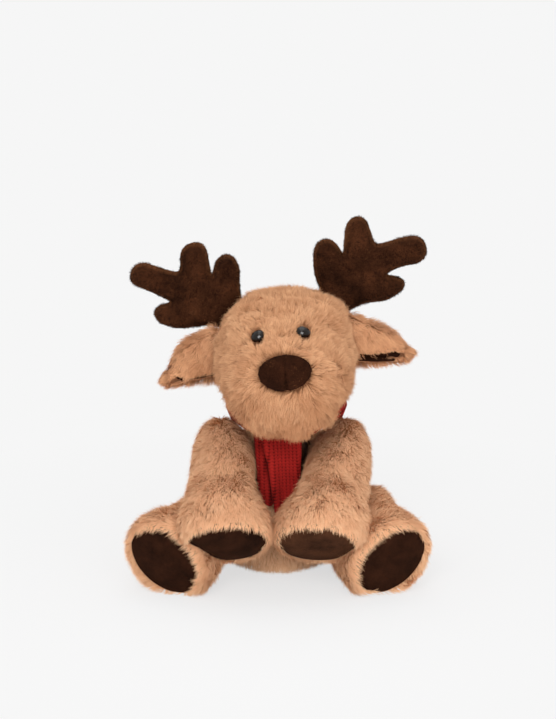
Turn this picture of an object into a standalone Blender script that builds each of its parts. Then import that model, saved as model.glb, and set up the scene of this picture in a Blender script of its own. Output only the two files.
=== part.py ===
"""Sitting plush deer with antlers and a knitted scarf: sewn skins over stuffing.

Metres, +Z up. The origin is the centre of the flat under the seat, and the deer faces -Y.
"""

import math

import bmesh
import bpy
from mathutils import Matrix, Vector
from mathutils.bvhtree import BVHTree

# Cloths and clearances
FUR_CLOTH = 0.005
VELOUR = 0.002
LINING = 0.0012
EAR_FUR = 0.003
KNIT = 0.0026
GAP = 0.0003
NECK_GAP = 0.0008
SOCKET_GAP = 0.0013
FLOOR_CUT = 0.0005
OVERRUN = 0.02

# Body: height, width and depth of the pear-shaped trunk, and how far its top leans sideways
BODY_HEIGHT = 0.135
BODY_WIDTH = 0.116
BODY_DEPTH = 0.096
BODY_LEAN = 0.004

# Head: overall form, the place of its middle and its sideways tilt in degrees
HEAD_WIDTH = 0.112
HEAD_HEIGHT = 0.096
HEAD_LENGTH = 0.144
HEAD_X = 0.005
HEAD_Y = -0.035
HEAD_RISE = 0.044
HEAD_ROLL = 5.5

# Neck: a firm ball of stuffing that the head turns and nods on
NECK_BALL = 0.020
NECK_Y = -0.004
NECK_HEIGHT_SHARE = 0.978
NECK_SWING = 25.0
NOD_DOWN = 4.0

# Arms: shoulder place, reach forward, drop, and how far each paw swings to the middle
SHOULDER_SPREAD_SHARE = 0.405
SHOULDER_Y = -0.016
SHOULDER_HEIGHT_SHARE = 0.715
SHOULDER_BALL = 0.0260
ARM_REACH = 0.092
ARM_DROP = 0.0565
ARM_WIDTH = 0.070
ARM_THICKNESS = 0.056
LEFT_PAW_INWARD = 0.004
RIGHT_PAW_INWARD = 0.022
PAD_WIDTH = 0.054
PAD_HEIGHT = 0.039
PAD_THICKNESS = 0.003
PAD_CLEARANCE = 0.0012
PAD_TILT = 43.0
ARM_SWING = 22.0

# Legs: hip place, reach forward, spread outward and drop of the foot's middle
HIP_SPREAD_SHARE = 0.380
HIP_Y = -0.004
HIP_Z = 0.035
HIP_BALL = 0.030
LEG_REACH = 0.094
LEG_SPREAD = 0.0395
LEG_DROP = 0.0065
FOOT_WIDTH = 0.0710
FOOT_HEIGHT = 0.0590
FOOT_ROLL = 38.0
SOLE_LENGTH = 0.0570
SOLE_WIDTH = 0.0425
SOLE_THICKNESS = 0.003
SOLE_TURN = 18.0
SOLE_DROOP = 8.0

# Crown of the sewn panels: its height, and how far it has fallen partway to the rim
PANEL_CROWN_SHARE = 0.4
CROWN_REACH_SHARE = 0.7
CROWN_FALL_SHARE = 0.45

# Openings that the stuffing goes in through, hidden inside the sockets
MOUTH = 0.009

# Antlers: outline size from the base's middle, padding, and each one's own lean in degrees
ANTLER_SPAN = 0.075
ANTLER_HEIGHT = 0.060
ANTLER_PADDING = 0.020
ANTLER_BASE_X = 0.042
ANTLER_BASE_Y = 0.030
ANTLER_BASE_Z = 0.031
ANTLER_BASE_SLOPE = -41.0
LEFT_ANTLER_LEAN = 3.0
RIGHT_ANTLER_LEAN = -3.0
ANTLER_FLEX = 14.0

# Ears: rolled leaves, hung from the sides of the head
EAR_LENGTH = 0.050
EAR_HEIGHT = 0.040
EAR_ROLL_WIDTH = 0.019
EAR_ROOT_SINK = 0.006
EAR_Y = 0.012
EAR_Z = 0.0036
EAR_DROOP = 26.0
EAR_SWING = 22.0
EAR_FRONT_EDGE = -115.0
EAR_REAR_EDGE = 168.0
LINING_REACH_SHARE = 0.9

# Face
EYE_SPREAD = 0.0175
EYE_X = -0.001
EYE_Z = 0.0235
EYE_RADIUS = 0.0054
EYE_DOME = 0.0042
EYE_FLANGE = 0.0012
EYE_SINK = 0.0024
STEM_RADIUS = 0.0018
STEM_LENGTH = 0.009
WASHER_RADIUS = 0.0055
WASHER_THICKNESS = 0.0010
WASHER_BACKSET = 0.0012
NOSE_WIDTH = 0.039
NOSE_HEIGHT = 0.030
NOSE_DEPTH = 0.010
NOSE_Z = 0.002

# Scarf: band round the neck, and its two hanging ends
BAND_WIDTH = 0.083
BAND_DEPTH = 0.070
BAND_ROLL = 0.0065
BAND_HALF_HEIGHT = 0.0105
BAND_X = 0.0065
BAND_Y = -0.003
BAND_HEIGHT_SHARE = 0.940
BAND_TILT = 13.0
END_TOP_SHARE = 0.830
WIDE_END_LENGTH = 0.062
WIDE_END_WIDTH = 0.030
WIDE_END_X = 0.002
NARROW_END_LENGTH = 0.056
NARROW_END_WIDTH = 0.022
NARROW_END_X = -0.006
END_FOLD = 0.0015
END_TAPER_SHARE = 0.35
NARROW_FOLD_TURN = 0.0
WIDE_FOLD_TURN = 115.0

# Pellet bag in the seat, and the tail
BAG_WIDTH = 0.046
BAG_DEPTH = 0.028
BAG_HEIGHT = 0.022
BAG_Y = 0.014
TAIL_LENGTH = 0.030
TAIL_WIDTH = 0.020
TAIL_THICKNESS = 0.014
TAIL_Z = 0.034
TAIL_RISE = 35.0
TAIL_SWING = 20.0
TAIL_ROOT_SHARE = 0.15

# Rings of each stuffed form, as shares of its own sizes
# Body: height, width, depth, and shift backward as a share of the depth
BODY_RING_SHARES = (
    (0.000, 0.66, 0.66, 0.00),
    (0.050, 0.92, 0.92, 0.00),
    (0.250, 1.00, 1.00, 0.00),
    (0.460, 0.90, 0.90, -0.01),
    (0.660, 0.73, 0.76, -0.03),
    (0.810, 0.61, 0.66, -0.05),
    (0.920, 0.49, 0.55, -0.05),
    (1.000, 0.36, 0.42, -0.04),
)
# Head: place along the length from its middle, width, height, and rise of the middle
HEAD_RING_SHARES = (
    (0.460, 0.42, 0.44, 0.06),
    (0.345, 0.82, 0.80, 0.055),
    (0.150, 0.98, 0.95, 0.035),
    (-0.050, 1.00, 0.99, -0.015),
    (-0.245, 0.92, 0.90, -0.105),
    (-0.410, 0.74, 0.72, -0.155),
    (-0.525, 0.44, 0.45, -0.135),
)
# Arm: reach, drop, inward, width, thickness
ARM_RING_SHARES = (
    (-0.150, -0.15, 0.00, 0.36, 0.44),
    (0.000, 0.00, 0.00, 0.70, 0.88),
    (0.400, 0.27, 0.26, 0.73, 0.90),
    (0.660, 0.50, 0.60, 0.86, 0.95),
    (0.870, 0.80, 0.90, 1.04, 1.06),
    (1.000, 1.00, 1.00, 0.97, 0.98),
)
# Leg: reach, spread, drop, width, height, and share of the foot's roll
LEG_RING_SHARES = (
    (-0.170, -0.17, 0.00, 0.38, 0.46, 0.0),
    (0.000, 0.00, 0.00, 0.80, 0.96, 0.0),
    (0.440, 0.49, 0.35, 0.88, 0.99, 0.4),
    (0.810, 0.86, 0.80, 1.00, 1.00, 1.0),
    (0.940, 0.98, 1.00, 1.01, 0.99, 1.0),
    (1.010, 1.04, 1.00, 0.99, 0.96, 1.0),
)
# Ear: place along the length, height and roll width
EAR_RING_SHARES = (
    (0.00, 0.92, 0.80),
    (0.18, 1.00, 0.95),
    (0.40, 0.94, 1.00),
    (0.62, 0.74, 0.86),
    (0.82, 0.46, 0.66),
    (0.95, 0.24, 0.50),
    (1.00, 0.12, 0.42),
)
# Pellet bag: height and width
BAG_RING_SHARES = ((0.0, 0.70), (0.18, 0.98), (0.55, 1.00), (0.88, 0.72), (1.0, 0.40))
# Tail: place along the length, width and thickness
TAIL_RING_SHARES = ((0.0, 0.50, 0.60), (0.25, 0.90, 0.95), (0.6, 1.0, 1.0), (0.9, 0.5, 0.5))

# Antler palm and tines, as shares of the span outward and of the height up from the base
PALM_SHARES = {
    "root_in": (-0.16, 0.18),
    "root_out": (0.17, -0.18),
    "sunk_in": (-0.29, -0.01),
    "sunk_out": (0.04, -0.37),
    "side": (-0.18, 0.46),
    "notch_up": (0.14, 0.45),
    "corner": (0.45, 0.58),
    "notch_out": (0.54, 0.21),
    "heel": (0.52, -0.14),
    "middle": (0.22, 0.22),
}
PALM_FACES = (
    ("root_in", "side", "notch_up", "middle"),
    ("middle", "notch_up", "corner", "notch_out"),
    ("middle", "notch_out", "heel", "root_out"),
    ("root_out", "root_in", "middle"),
    ("root_in", "root_out", "sunk_out", "sunk_in"),
)
TINE_SHARES = (
    ("side", "notch_up", ((-0.175, 0.64), (0.09, 0.70)), ((-0.11, 0.77), (0.02, 0.79))),
    ("notch_up", "corner", ((0.14, 0.79), (0.43, 0.81)), ((0.19, 0.985), (0.37, 0.995))),
    ("corner", "notch_out", ((0.72, 0.72), (0.75, 0.33)), ((0.97, 0.69), (0.98, 0.42))),
    ("notch_out", "heel", ((0.69, 0.16), (0.65, -0.07)), ((0.765, 0.10), (0.73, 0.00))),
)
# Padding of the antler at the palm's middle, its edge and each step along a tine
PADDING_SHARES = {"middle": 1.12, "edge": 0.92, "tine": 0.84, "tip": 0.58}

BODY_SIDES = 8
HEAD_SIDES = 10
LIMB_SIDES = 8
BALL_SEGMENTS = 14
BALL_RINGS = 8
NECK_SEGMENTS = 20
NECK_RINGS = 12
EYE_STEPS = 4
NOSE_RINGS = 5
EAR_STEPS = 7
END_STEPS_DOWN = 6
END_STEPS_ACROSS = 4
BAND_STEPS = 18
BAND_SIDES = 6


for leftover in list(bpy.data.objects):
    bpy.data.objects.remove(leftover, do_unlink=True)


def new_collection(name):
    made = bpy.data.collections.new(name)
    bpy.context.scene.collection.children.link(made)
    return made


PARTS = new_collection("plush_deer")
CUTTERS = new_collection("cutters")


def material(name, colour, roughness):
    made = bpy.data.materials.new(name)
    made.use_nodes = True
    shader = made.node_tree.nodes["Principled BSDF"]
    shader.inputs["Base Color"].default_value = (*colour, 1.0)
    shader.inputs["Roughness"].default_value = roughness
    shader.inputs["Metallic"].default_value = 0.0
    return made


FUR = ((0.56, 0.34, 0.20), 0.95)
DARK_VELOUR = ((0.06, 0.02, 0.012), 0.85)
RED_KNIT = ((0.42, 0.012, 0.016), 0.9)
FIBRE = ((0.85, 0.85, 0.83), 1.0)
EYE_GLOSS = ((0.012, 0.012, 0.015), 0.08)
CLEAR_NYLON = ((0.75, 0.75, 0.72), 0.4)
COTTON = ((0.7, 0.66, 0.58), 0.95)


def add_object(name, mesh, look=None, parent=None):
    """A part in its own colour, or a cutter where no look is given."""
    made = bpy.data.objects.new(name, mesh)
    if look is None:
        CUTTERS.objects.link(made)
        made.hide_render = True
        made.display_type = "WIRE"
    else:
        PARTS.objects.link(made)
        mesh.materials.clear()
        mesh.materials.append(material(name, *look))
        mesh.shade_smooth()
    made.parent = parent
    return made


def add_pivot(name, place, parent=None):
    pivot = bpy.data.objects.new(name, None)
    PARTS.objects.link(pivot)
    pivot.location = place
    pivot.parent = parent
    return pivot


def loft(name, rings, sides):
    """A closed coarse cage through rings, each a centre and two half-axis vectors."""
    bm = bmesh.new()
    # One smoothing pass draws a ring in by this much, so the cage starts that much wider.
    swell = 1.0 / (0.75 + 0.25 * math.cos(2.0 * math.pi / sides))
    rows = []
    for centre, across, over in rings:
        row = []
        for i in range(sides):
            angle = 2.0 * math.pi * i / sides
            row.append(bm.verts.new(centre + swell * (across * math.cos(angle) + over * math.sin(angle))))
        rows.append(row)
    for low, high in zip(rows, rows[1:]):
        for i in range(sides):
            j = (i + 1) % sides
            bm.faces.new((low[i], low[j], high[j], high[i]))
    bm.faces.new(reversed(rows[0]))
    bm.faces.new(rows[-1])
    bmesh.ops.recalc_face_normals(bm, faces=bm.faces)
    mesh = bpy.data.meshes.new(name)
    bm.to_mesh(mesh)
    bm.free()
    return mesh


def soften(piece, offset=0.0):
    """Smooths a cage once and moves its surface out by the offset, or in where it is negative."""
    smooth = piece.modifiers.new("smooth", "SUBSURF")
    smooth.levels = 1
    smooth.render_levels = 1
    piece.modifiers.new("facets", "TRIANGULATE")
    if offset:
        shift = piece.modifiers.new("offset", "DISPLACE")
        shift.strength = offset
        shift.mid_level = 0.0
    return piece


def cut(piece, *cutters, operation="DIFFERENCE"):
    for cutter in cutters:
        boolean = piece.modifiers.new("cut", "BOOLEAN")
        boolean.operation = operation
        boolean.solver = "EXACT"
        boolean.object = cutter
    return piece


def ball(name, centre, radius, look=None, parent=None, segments=BALL_SEGMENTS, rings=BALL_RINGS):
    mesh = bpy.data.meshes.new(name)
    bm = bmesh.new()
    bmesh.ops.create_uvsphere(bm, u_segments=segments, v_segments=rings, radius=radius)
    bm.to_mesh(mesh)
    bm.free()
    made = add_object(name, mesh, look, parent)
    made.location = centre
    return made


def surface_tree(piece):
    """The smoothed surface in world space, for seating other pieces on it."""
    bpy.context.view_layer.update()
    shown = piece.evaluated_get(bpy.context.evaluated_depsgraph_get())
    mesh = shown.to_mesh()
    places = [shown.matrix_world @ v.co for v in mesh.vertices]
    faces = [tuple(f.vertices) for f in mesh.polygons]
    shown.to_mesh_clear()
    return BVHTree.FromPolygons(places, faces)


def turned(name, profile, sides):
    """A turned solid about Z from a profile of (radius, height) that runs from top to bottom."""
    mesh = bpy.data.meshes.new(name)
    bm = bmesh.new()
    points = [bm.verts.new((radius, 0.0, height)) for radius, height in profile]
    edges = [bm.edges.new(pair) for pair in zip(points, points[1:])]
    bmesh.ops.spin(
        bm,
        geom=points + edges,
        cent=(0.0, 0.0, 0.0),
        axis=(0.0, 0.0, 1.0),
        angle=2.0 * math.pi,
        steps=sides,
        use_merge=True,
    )
    bmesh.ops.remove_doubles(bm, verts=bm.verts, dist=GAP / 10.0)
    bmesh.ops.recalc_face_normals(bm, faces=bm.faces)
    bm.to_mesh(mesh)
    bm.free()
    return mesh


def oval_disc(name, width, height, thickness, crown_share):
    """A crowned oval: flat back at Z = 0, its rim rounded, its middle raised."""
    rim = thickness * (1.0 - crown_share)
    profile = (
        (0.0, thickness),
        (CROWN_REACH_SHARE, thickness - CROWN_FALL_SHARE * thickness * crown_share),
        (1.0 - rim / width, rim),
        (1.0, 0.5 * rim),
        (1.0, 0.0),
        (0.0, 0.0),
    )
    mesh = turned(name, profile, BALL_SEGMENTS)
    mesh.transform(Matrix.Diagonal((0.5 * width, 0.5 * height, 1.0, 1.0)))
    return mesh


def frame_from(normal, across):
    """A rotation whose Z is the normal and whose X is nearest to across."""
    z = normal.normalized()
    x = (across - z * across.dot(z)).normalized()
    return Matrix((x, z.cross(x), z)).transposed().to_4x4()


# The floor that the seat and the heels rest on
floor_mesh = bpy.data.meshes.new("floor_cutter")
floor_bm = bmesh.new()
bmesh.ops.create_cube(floor_bm, size=1.0)
floor_bm.to_mesh(floor_mesh)
floor_bm.free()
floor_cutter = add_object("floor_cutter", floor_mesh)
floor_cutter.scale = (4.0 * BODY_WIDTH, 4.0 * BODY_WIDTH, OVERRUN)
floor_cutter.location = (0.0, 0.0, -0.5 * OVERRUN)


# Body: the trunk's form, its skin and stuffing
def body_rings():
    rings = []
    for up, wide, deep, back in BODY_RING_SHARES:
        centre = Vector((BODY_LEAN * up, back * BODY_DEPTH, BODY_HEIGHT * up - FLOOR_CUT))
        across = Vector((0.5 * BODY_WIDTH * wide, 0.0, 0.0))
        over = Vector((0.0, 0.5 * BODY_DEPTH * deep, 0.0))
        rings.append((centre, across, over))
    return rings


body_cage = loft("body_cage", body_rings(), BODY_SIDES)
neck_place = Vector((BODY_LEAN, NECK_Y, NECK_HEIGHT_SHARE * BODY_HEIGHT))
sides = {"left": -1.0, "right": 1.0}
shoulder_spread = SHOULDER_SPREAD_SHARE * BODY_WIDTH
shoulder_z = SHOULDER_HEIGHT_SHARE * BODY_HEIGHT
shoulder = {s: Vector((BODY_LEAN + k * shoulder_spread, SHOULDER_Y, shoulder_z)) for s, k in sides.items()}
hip = {s: Vector((k * HIP_SPREAD_SHARE * BODY_WIDTH, HIP_Y, HIP_Z)) for s, k in sides.items()}

neck_facets = {"segments": NECK_SEGMENTS, "rings": NECK_RINGS}
sockets = [ball("neck_socket", neck_place, NECK_BALL + NECK_GAP, **neck_facets)]
for side in sides:
    sockets.append(ball("shoulder_socket_" + side, shoulder[side], SHOULDER_BALL + SOCKET_GAP))
    sockets.append(ball("hip_socket_" + side, hip[side], HIP_BALL + SOCKET_GAP))

body_cavity = soften(add_object("body_cavity", body_cage.copy()), -FUR_CLOTH)
body_skin = soften(add_object("body_skin", body_cage.copy(), FUR))
cut(body_skin, floor_cutter, body_cavity, *sockets)

# Pellet bag: a squat bag on the seat's skin, under the stuffing
def bag_rings(margin):
    rings = []
    floor_z = FUR_CLOTH + GAP
    for up, wide in BAG_RING_SHARES:
        centre = Vector((0.0, BAG_Y, floor_z + BAG_HEIGHT * up + margin * (2.0 * up - 1.0)))
        across = Vector((0.5 * BAG_WIDTH * wide + margin, 0.0, 0.0))
        over = Vector((0.0, 0.5 * BAG_DEPTH * wide + margin, 0.0))
        rings.append((centre, across, over))
    return rings


body_core = soften(add_object("body_core", body_cage.copy()), -FUR_CLOTH - GAP)
pellet_bag = add_object("pellet_bag", loft("pellet_bag", bag_rings(0.0), LIMB_SIDES), COTTON)
cut(pellet_bag, body_core, operation="INTERSECT")
bag_room = add_object("bag_room", loft("bag_room", bag_rings(2.0 * GAP), LIMB_SIDES))

body_stuffing = soften(add_object("body_stuffing", body_cage.copy(), FIBRE), -FUR_CLOTH - GAP)
cut(body_stuffing, bag_room, *sockets)


def trunk_cutter(name, margin, socket_inset):
    """The trunk grown by a margin, hollow where a limb's ball end goes in."""
    grown = soften(add_object(name, body_cage.copy()), margin)
    for side in sides:
        cut(grown, ball(name + "_shoulder_" + side, shoulder[side], SHOULDER_BALL - socket_inset))
        cut(grown, ball(name + "_hip_" + side, hip[side], HIP_BALL - socket_inset))
    return grown


# What a limb's outer face, its skin's inner face and its stuffing are each cut by
MARGINS = {"outer": GAP, "inner": FUR_CLOTH + GAP, "core": FUR_CLOTH + 2.0 * GAP}
INSETS = {"outer": 0.0, "inner": FUR_CLOTH, "core": FUR_CLOTH + GAP}
trunk = {k: trunk_cutter("trunk_" + k, MARGINS[k], INSETS[k]) for k in MARGINS}


# Legs: each a swelling tube that ends in a foot, with an oval sole let into its end
def along_path(centres, end_direction):
    """The direction of the path at each centre, with the last one given."""
    directions = []
    for i in range(len(centres) - 1):
        before = centres[max(0, i - 1)]
        directions.append((centres[i + 1] - before).normalized())
    directions.append(end_direction)
    return directions


def limb_rings(centres, halves, rolls, end_direction, sideways):
    rings = []
    for centre, (wide, thick), roll, direction in zip(
        centres, halves, rolls, along_path(centres, end_direction)
    ):
        across = (sideways - direction * sideways.dot(direction)).normalized()
        over = direction.cross(across)
        turn = Matrix.Rotation(roll, 3, direction)
        rings.append((centre, turn @ across * wide, turn @ over * thick))
    return rings


def leg_rings(outward):
    centres = []
    halves = []
    rolls = []
    for reach, spread, drop, wide, high, roll in LEG_RING_SHARES:
        centres.append(Vector((outward * LEG_SPREAD * spread, -LEG_REACH * reach, -LEG_DROP * drop)))
        halves.append((0.5 * FOOT_WIDTH * wide, 0.5 * FOOT_HEIGHT * high))
        rolls.append(outward * math.radians(FOOT_ROLL) * roll)
    return limb_rings(centres, halves, rolls, sole_normal(outward), Vector((1.0, 0.0, 0.0)))


def sole_normal(outward):
    turn, droop = math.radians(SOLE_TURN), math.radians(SOLE_DROOP)
    return Vector(
        (outward * math.sin(turn) * math.cos(droop), -math.cos(turn) * math.cos(droop), -math.sin(droop))
    )


def end_panel(name, side_pivot, rings, width, height, thickness):
    """An oval velour panel let into a limb's end, with the cutter of its hole in the skin."""
    centre, across, over = rings[-1]
    normal = over.cross(across).normalized()
    if normal.dot(centre - rings[-2][0]) < 0.0:
        normal = -normal
    place = Matrix.Translation(centre) @ frame_from(normal, across)
    panel = add_object(name, oval_disc(name, width, height, thickness, PANEL_CROWN_SHARE), DARK_VELOUR, side_pivot)
    panel.matrix_local = place @ Matrix.Translation((0.0, 0.0, -FUR_CLOTH))
    hole_mesh = oval_disc(name + "_hole", width + 2.0 * GAP, height + 2.0 * GAP, 2.0 * OVERRUN, 0.0)
    hole = add_object(name + "_hole", hole_mesh, None, side_pivot)
    hole.matrix_local = place @ Matrix.Translation((0.0, 0.0, -0.5 * OVERRUN))
    return panel, hole


def stuffed_limb(name, cage, inner_side, pivot, cutters, hole):
    """A limb's skin and stuffing from one cage; the skin is open at the seam and at the panel."""
    cavity = soften(add_object(name + "_cavity", cage.copy(), None, pivot), -FUR_CLOTH)
    cut(cavity, *cutters["inner"])
    mouth = ball(name + "_mouth", inner_side, MOUTH, None, pivot)
    skin = soften(add_object(name + "_skin", cage.copy(), FUR, pivot))
    cut(skin, *cutters["outer"], cavity, mouth, hole)
    stuffing = soften(add_object(name + "_stuffing", cage.copy(), FIBRE, pivot), -FUR_CLOTH - GAP)
    cut(stuffing, *cutters["core"])
    return skin


leg_cages = {}
leg_pivots = {}
for side, outward in sides.items():
    pivot = add_pivot("hip_" + side, hip[side])
    rings = leg_rings(outward)
    cage = loft("leg_cage_" + side, rings, LIMB_SIDES)
    sole, hole = end_panel("sole_" + side, pivot, rings, SOLE_LENGTH, SOLE_WIDTH, SOLE_THICKNESS)
    leg_cutters = {k: [trunk[k]] for k in trunk}
    leg_cutters["outer"] = [trunk["outer"], floor_cutter]
    inner_side = Vector((-outward * 0.5 * FOOT_WIDTH * LEG_RING_SHARES[1][3], 0.0, 0.0))
    stuffed_limb("leg_" + side, cage, inner_side, pivot, leg_cutters, hole)
    leg_cages[side] = cage
    leg_pivots[side] = pivot


# Arms: each hangs forward from its shoulder, and its paw lies on the inner side of the foot
def arm_rings(inward):
    centres = []
    halves = []
    rolls = []
    for reach, drop, middle, wide, thick in ARM_RING_SHARES:
        centres.append(Vector((inward * middle, -ARM_REACH * reach, -ARM_DROP * drop)))
        halves.append((0.5 * ARM_WIDTH * wide, 0.5 * ARM_THICKNESS * thick))
        rolls.append(0.0)
    tilt = math.radians(PAD_TILT)
    normal = Vector((0.0, -math.cos(tilt), -math.sin(tilt)))
    return limb_rings(centres, halves, rolls, normal, Vector((1.0, 0.0, 0.0)))


def swung(place, axis, degrees):
    """A turn about an axis through a place."""
    middle = Matrix.Translation(place)
    return middle @ Matrix.Rotation(math.radians(degrees), 4, axis) @ middle.inverted()


arm_rooms = []
paw_inward = {"left": LEFT_PAW_INWARD, "right": -RIGHT_PAW_INWARD}
for side, outward in sides.items():
    pivot = add_pivot("shoulder_" + side, shoulder[side])
    rings = arm_rings(paw_inward[side])
    cage = loft("arm_cage_" + side, rings, LIMB_SIDES)
    pad, hole = end_panel("paw_pad_" + side, pivot, rings, PAD_WIDTH, PAD_HEIGHT, PAD_THICKNESS)
    arm_cutters = {k: [trunk[k]] for k in trunk}
    for k in MARGINS:
        leg = soften(
            add_object("leg_room_" + side + "_" + k, leg_cages[side].copy(), None, leg_pivots[side]),
            MARGINS[k],
        )
        arm_cutters[k].append(leg)
    pad_room = add_object("pad_room_" + side, leg_cages[side].copy(), None, leg_pivots[side])
    cut(pad, soften(pad_room, PAD_CLEARANCE))
    inner_side = Vector((-outward * 0.5 * ARM_WIDTH * ARM_RING_SHARES[1][3], 0.0, 0.0))
    raised = trunk_cutter("trunk_raised_" + side, 2.0 * GAP, 0.0)
    raised.matrix_local = swung(shoulder[side], "X", ARM_SWING)
    arm_cutters["outer"].append(raised)
    stuffed_limb("arm_" + side, cage, inner_side, pivot, arm_cutters, hole)
    for turn in (0.5 * ARM_SWING, ARM_SWING):
        room = soften(add_object("arm_room_" + side, cage.copy()), GAP)
        room.matrix_local = swung(shoulder[side], "X", -turn) @ Matrix.Translation(shoulder[side])
        arm_rooms.append(room)

# Neck: a firm ball of fibre, half in the trunk and half in the head
neck_turn = add_pivot("neck_turn", neck_place)
neck_nod = add_pivot("neck_nod", (0.0, 0.0, 0.0), neck_turn)
ball("neck_stuffing", (0.0, 0.0, 0.0), NECK_BALL, FIBRE, neck_turn, **neck_facets)

# Head: skin and stuffing, in a frame that is tilted about the middle of the head
head_frame = add_pivot("head_frame", Vector((HEAD_X - neck_place.x, HEAD_Y - neck_place.y, HEAD_RISE)), neck_nod)
head_frame.rotation_euler = (0.0, -math.radians(HEAD_ROLL), 0.0)


def head_rings():
    rings = []
    for along, wide, high, rise in HEAD_RING_SHARES:
        centre = Vector((0.0, along * HEAD_LENGTH, rise * HEAD_HEIGHT))
        across = Vector((0.5 * HEAD_WIDTH * wide, 0.0, 0.0))
        over = Vector((0.0, 0.0, 0.5 * HEAD_HEIGHT * high))
        rings.append((centre, across, over))
    return rings


head_cage = loft("head_cage", head_rings(), HEAD_SIDES)
head_cavity = soften(add_object("head_cavity", head_cage.copy(), None, head_frame), -FUR_CLOTH)
head_form = soften(add_object("head_form", head_cage.copy(), None, head_frame))
head_room = soften(add_object("head_room", head_cage.copy(), None, head_frame), GAP)
head_socket = ball("head_socket", (0.0, 0.0, 0.0), NECK_BALL + NECK_GAP, None, neck_nod, **neck_facets)
head_skin = soften(add_object("head_skin", head_cage.copy(), FUR, head_frame))
head_stuffing = soften(add_object("head_stuffing", head_cage.copy(), FIBRE, head_frame), -FUR_CLOTH - GAP)
cut(head_skin, head_cavity, head_socket)
cut(head_stuffing, head_socket)

bpy.context.view_layer.update()
to_head = head_frame.matrix_world.inverted()
head_tree = surface_tree(head_form)


def on_face(x, z):
    """The point of the face at that place in the head's frame, and the direction it faces."""
    start = head_frame.matrix_world @ Vector((x, -HEAD_LENGTH, z))
    way = head_frame.matrix_world.to_3x3() @ Vector((0.0, 1.0, 0.0))
    place, normal, _, _ = head_tree.ray_cast(start, way)
    return to_head @ place, (to_head.to_3x3() @ normal).normalized()


# Eyes: a gloss dome on a stem that a washer holds behind the skin
def eye_profile():
    flange = EYE_FLANGE
    dome = [
        (EYE_RADIUS * math.sin(a), flange + (EYE_DOME - flange) * math.cos(a))
        for a in (0.5 * math.pi * k / EYE_STEPS for k in range(EYE_STEPS + 1))
    ]
    stem = [(EYE_RADIUS, 0.0), (STEM_RADIUS, 0.0), (STEM_RADIUS, -STEM_LENGTH), (0.0, -STEM_LENGTH)]
    return dome + stem


def washer_profile():
    bore = STEM_RADIUS + GAP
    top, low = WASHER_THICKNESS, 0.0
    return ((bore, top), (WASHER_RADIUS, top), (WASHER_RADIUS, low), (bore, low), (bore, top))


def plug(name, radius, low, high):
    """A cutter cylinder about Z between two heights."""
    profile = ((0.0, high), (radius, high), (radius, low), (0.0, low))
    return turned(name, profile, BALL_SEGMENTS)


for side, outward in sides.items():
    place, normal = on_face(EYE_X + outward * EYE_SPREAD, EYE_Z)
    seat = Matrix.Translation(place - normal * EYE_SINK) @ frame_from(normal, Vector((1.0, 0.0, 0.0)))
    eye = add_object("eye_" + side, turned("eye_" + side, eye_profile(), BALL_SEGMENTS), EYE_GLOSS, head_frame)
    eye.matrix_local = seat
    washer_mesh = turned("washer_" + side, washer_profile(), BALL_SEGMENTS)
    washer = add_object("eye_washer_" + side, washer_mesh, CLEAR_NYLON, head_frame)
    behind = FUR_CLOTH - EYE_SINK + WASHER_THICKNESS + WASHER_BACKSET
    washer.matrix_local = seat @ Matrix.Translation((0.0, 0.0, -behind))
    dish = add_object("eye_dish_" + side, plug("eye_dish", EYE_RADIUS + GAP, -GAP, OVERRUN), None, head_frame)
    bore = add_object(
        "eye_bore_" + side, plug("eye_bore", STEM_RADIUS + GAP, -OVERRUN, OVERRUN), None, head_frame
    )
    pocket_mesh = plug("eye_pocket", WASHER_RADIUS + GAP, -STEM_LENGTH - GAP, OVERRUN)
    pocket = add_object("eye_pocket_" + side, pocket_mesh, None, head_frame)
    for cutter in (dish, bore, pocket):
        cutter.matrix_local = seat
    cut(head_skin, dish, bore)
    cut(head_stuffing, pocket)

# Nose: a padded oval of short pile, seated on the front of the muzzle
nose_place, nose_normal = on_face(0.0, NOSE_Z)
nose_rings = []
for k in range(NOSE_RINGS):
    angle = math.pi * ((k + 1) / (NOSE_RINGS + 1) - 0.5)
    centre = Vector((0.0, 0.0, 0.5 * NOSE_DEPTH * math.sin(angle)))
    wide = 0.5 * NOSE_WIDTH * math.cos(angle)
    high = 0.5 * NOSE_HEIGHT * math.cos(angle)
    nose_rings.append((centre, Vector((wide, 0.0, 0.0)), Vector((0.0, high, 0.0))))
nose = soften(add_object("nose", loft("nose", nose_rings, BODY_SIDES), DARK_VELOUR, head_frame))
nose.matrix_local = Matrix.Translation(nose_place) @ frame_from(nose_normal, Vector((1.0, 0.0, 0.0)))
cut(nose, head_room)


def swung_heads(name, pivot, axis, swing):
    """The head as a piece on the pivot meets it at rest and at both ends of its swing."""
    heads = []
    for k, turn in enumerate((-swing, 0.0, swing)):
        spin = Matrix.Rotation(math.radians(turn), 4, axis)
        head = soften(add_object(name + str(k), head_cage.copy(), None, head_frame), GAP)
        head.matrix_local = pivot @ spin @ pivot.inverted()
        heads.append(head)
    return heads


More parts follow.
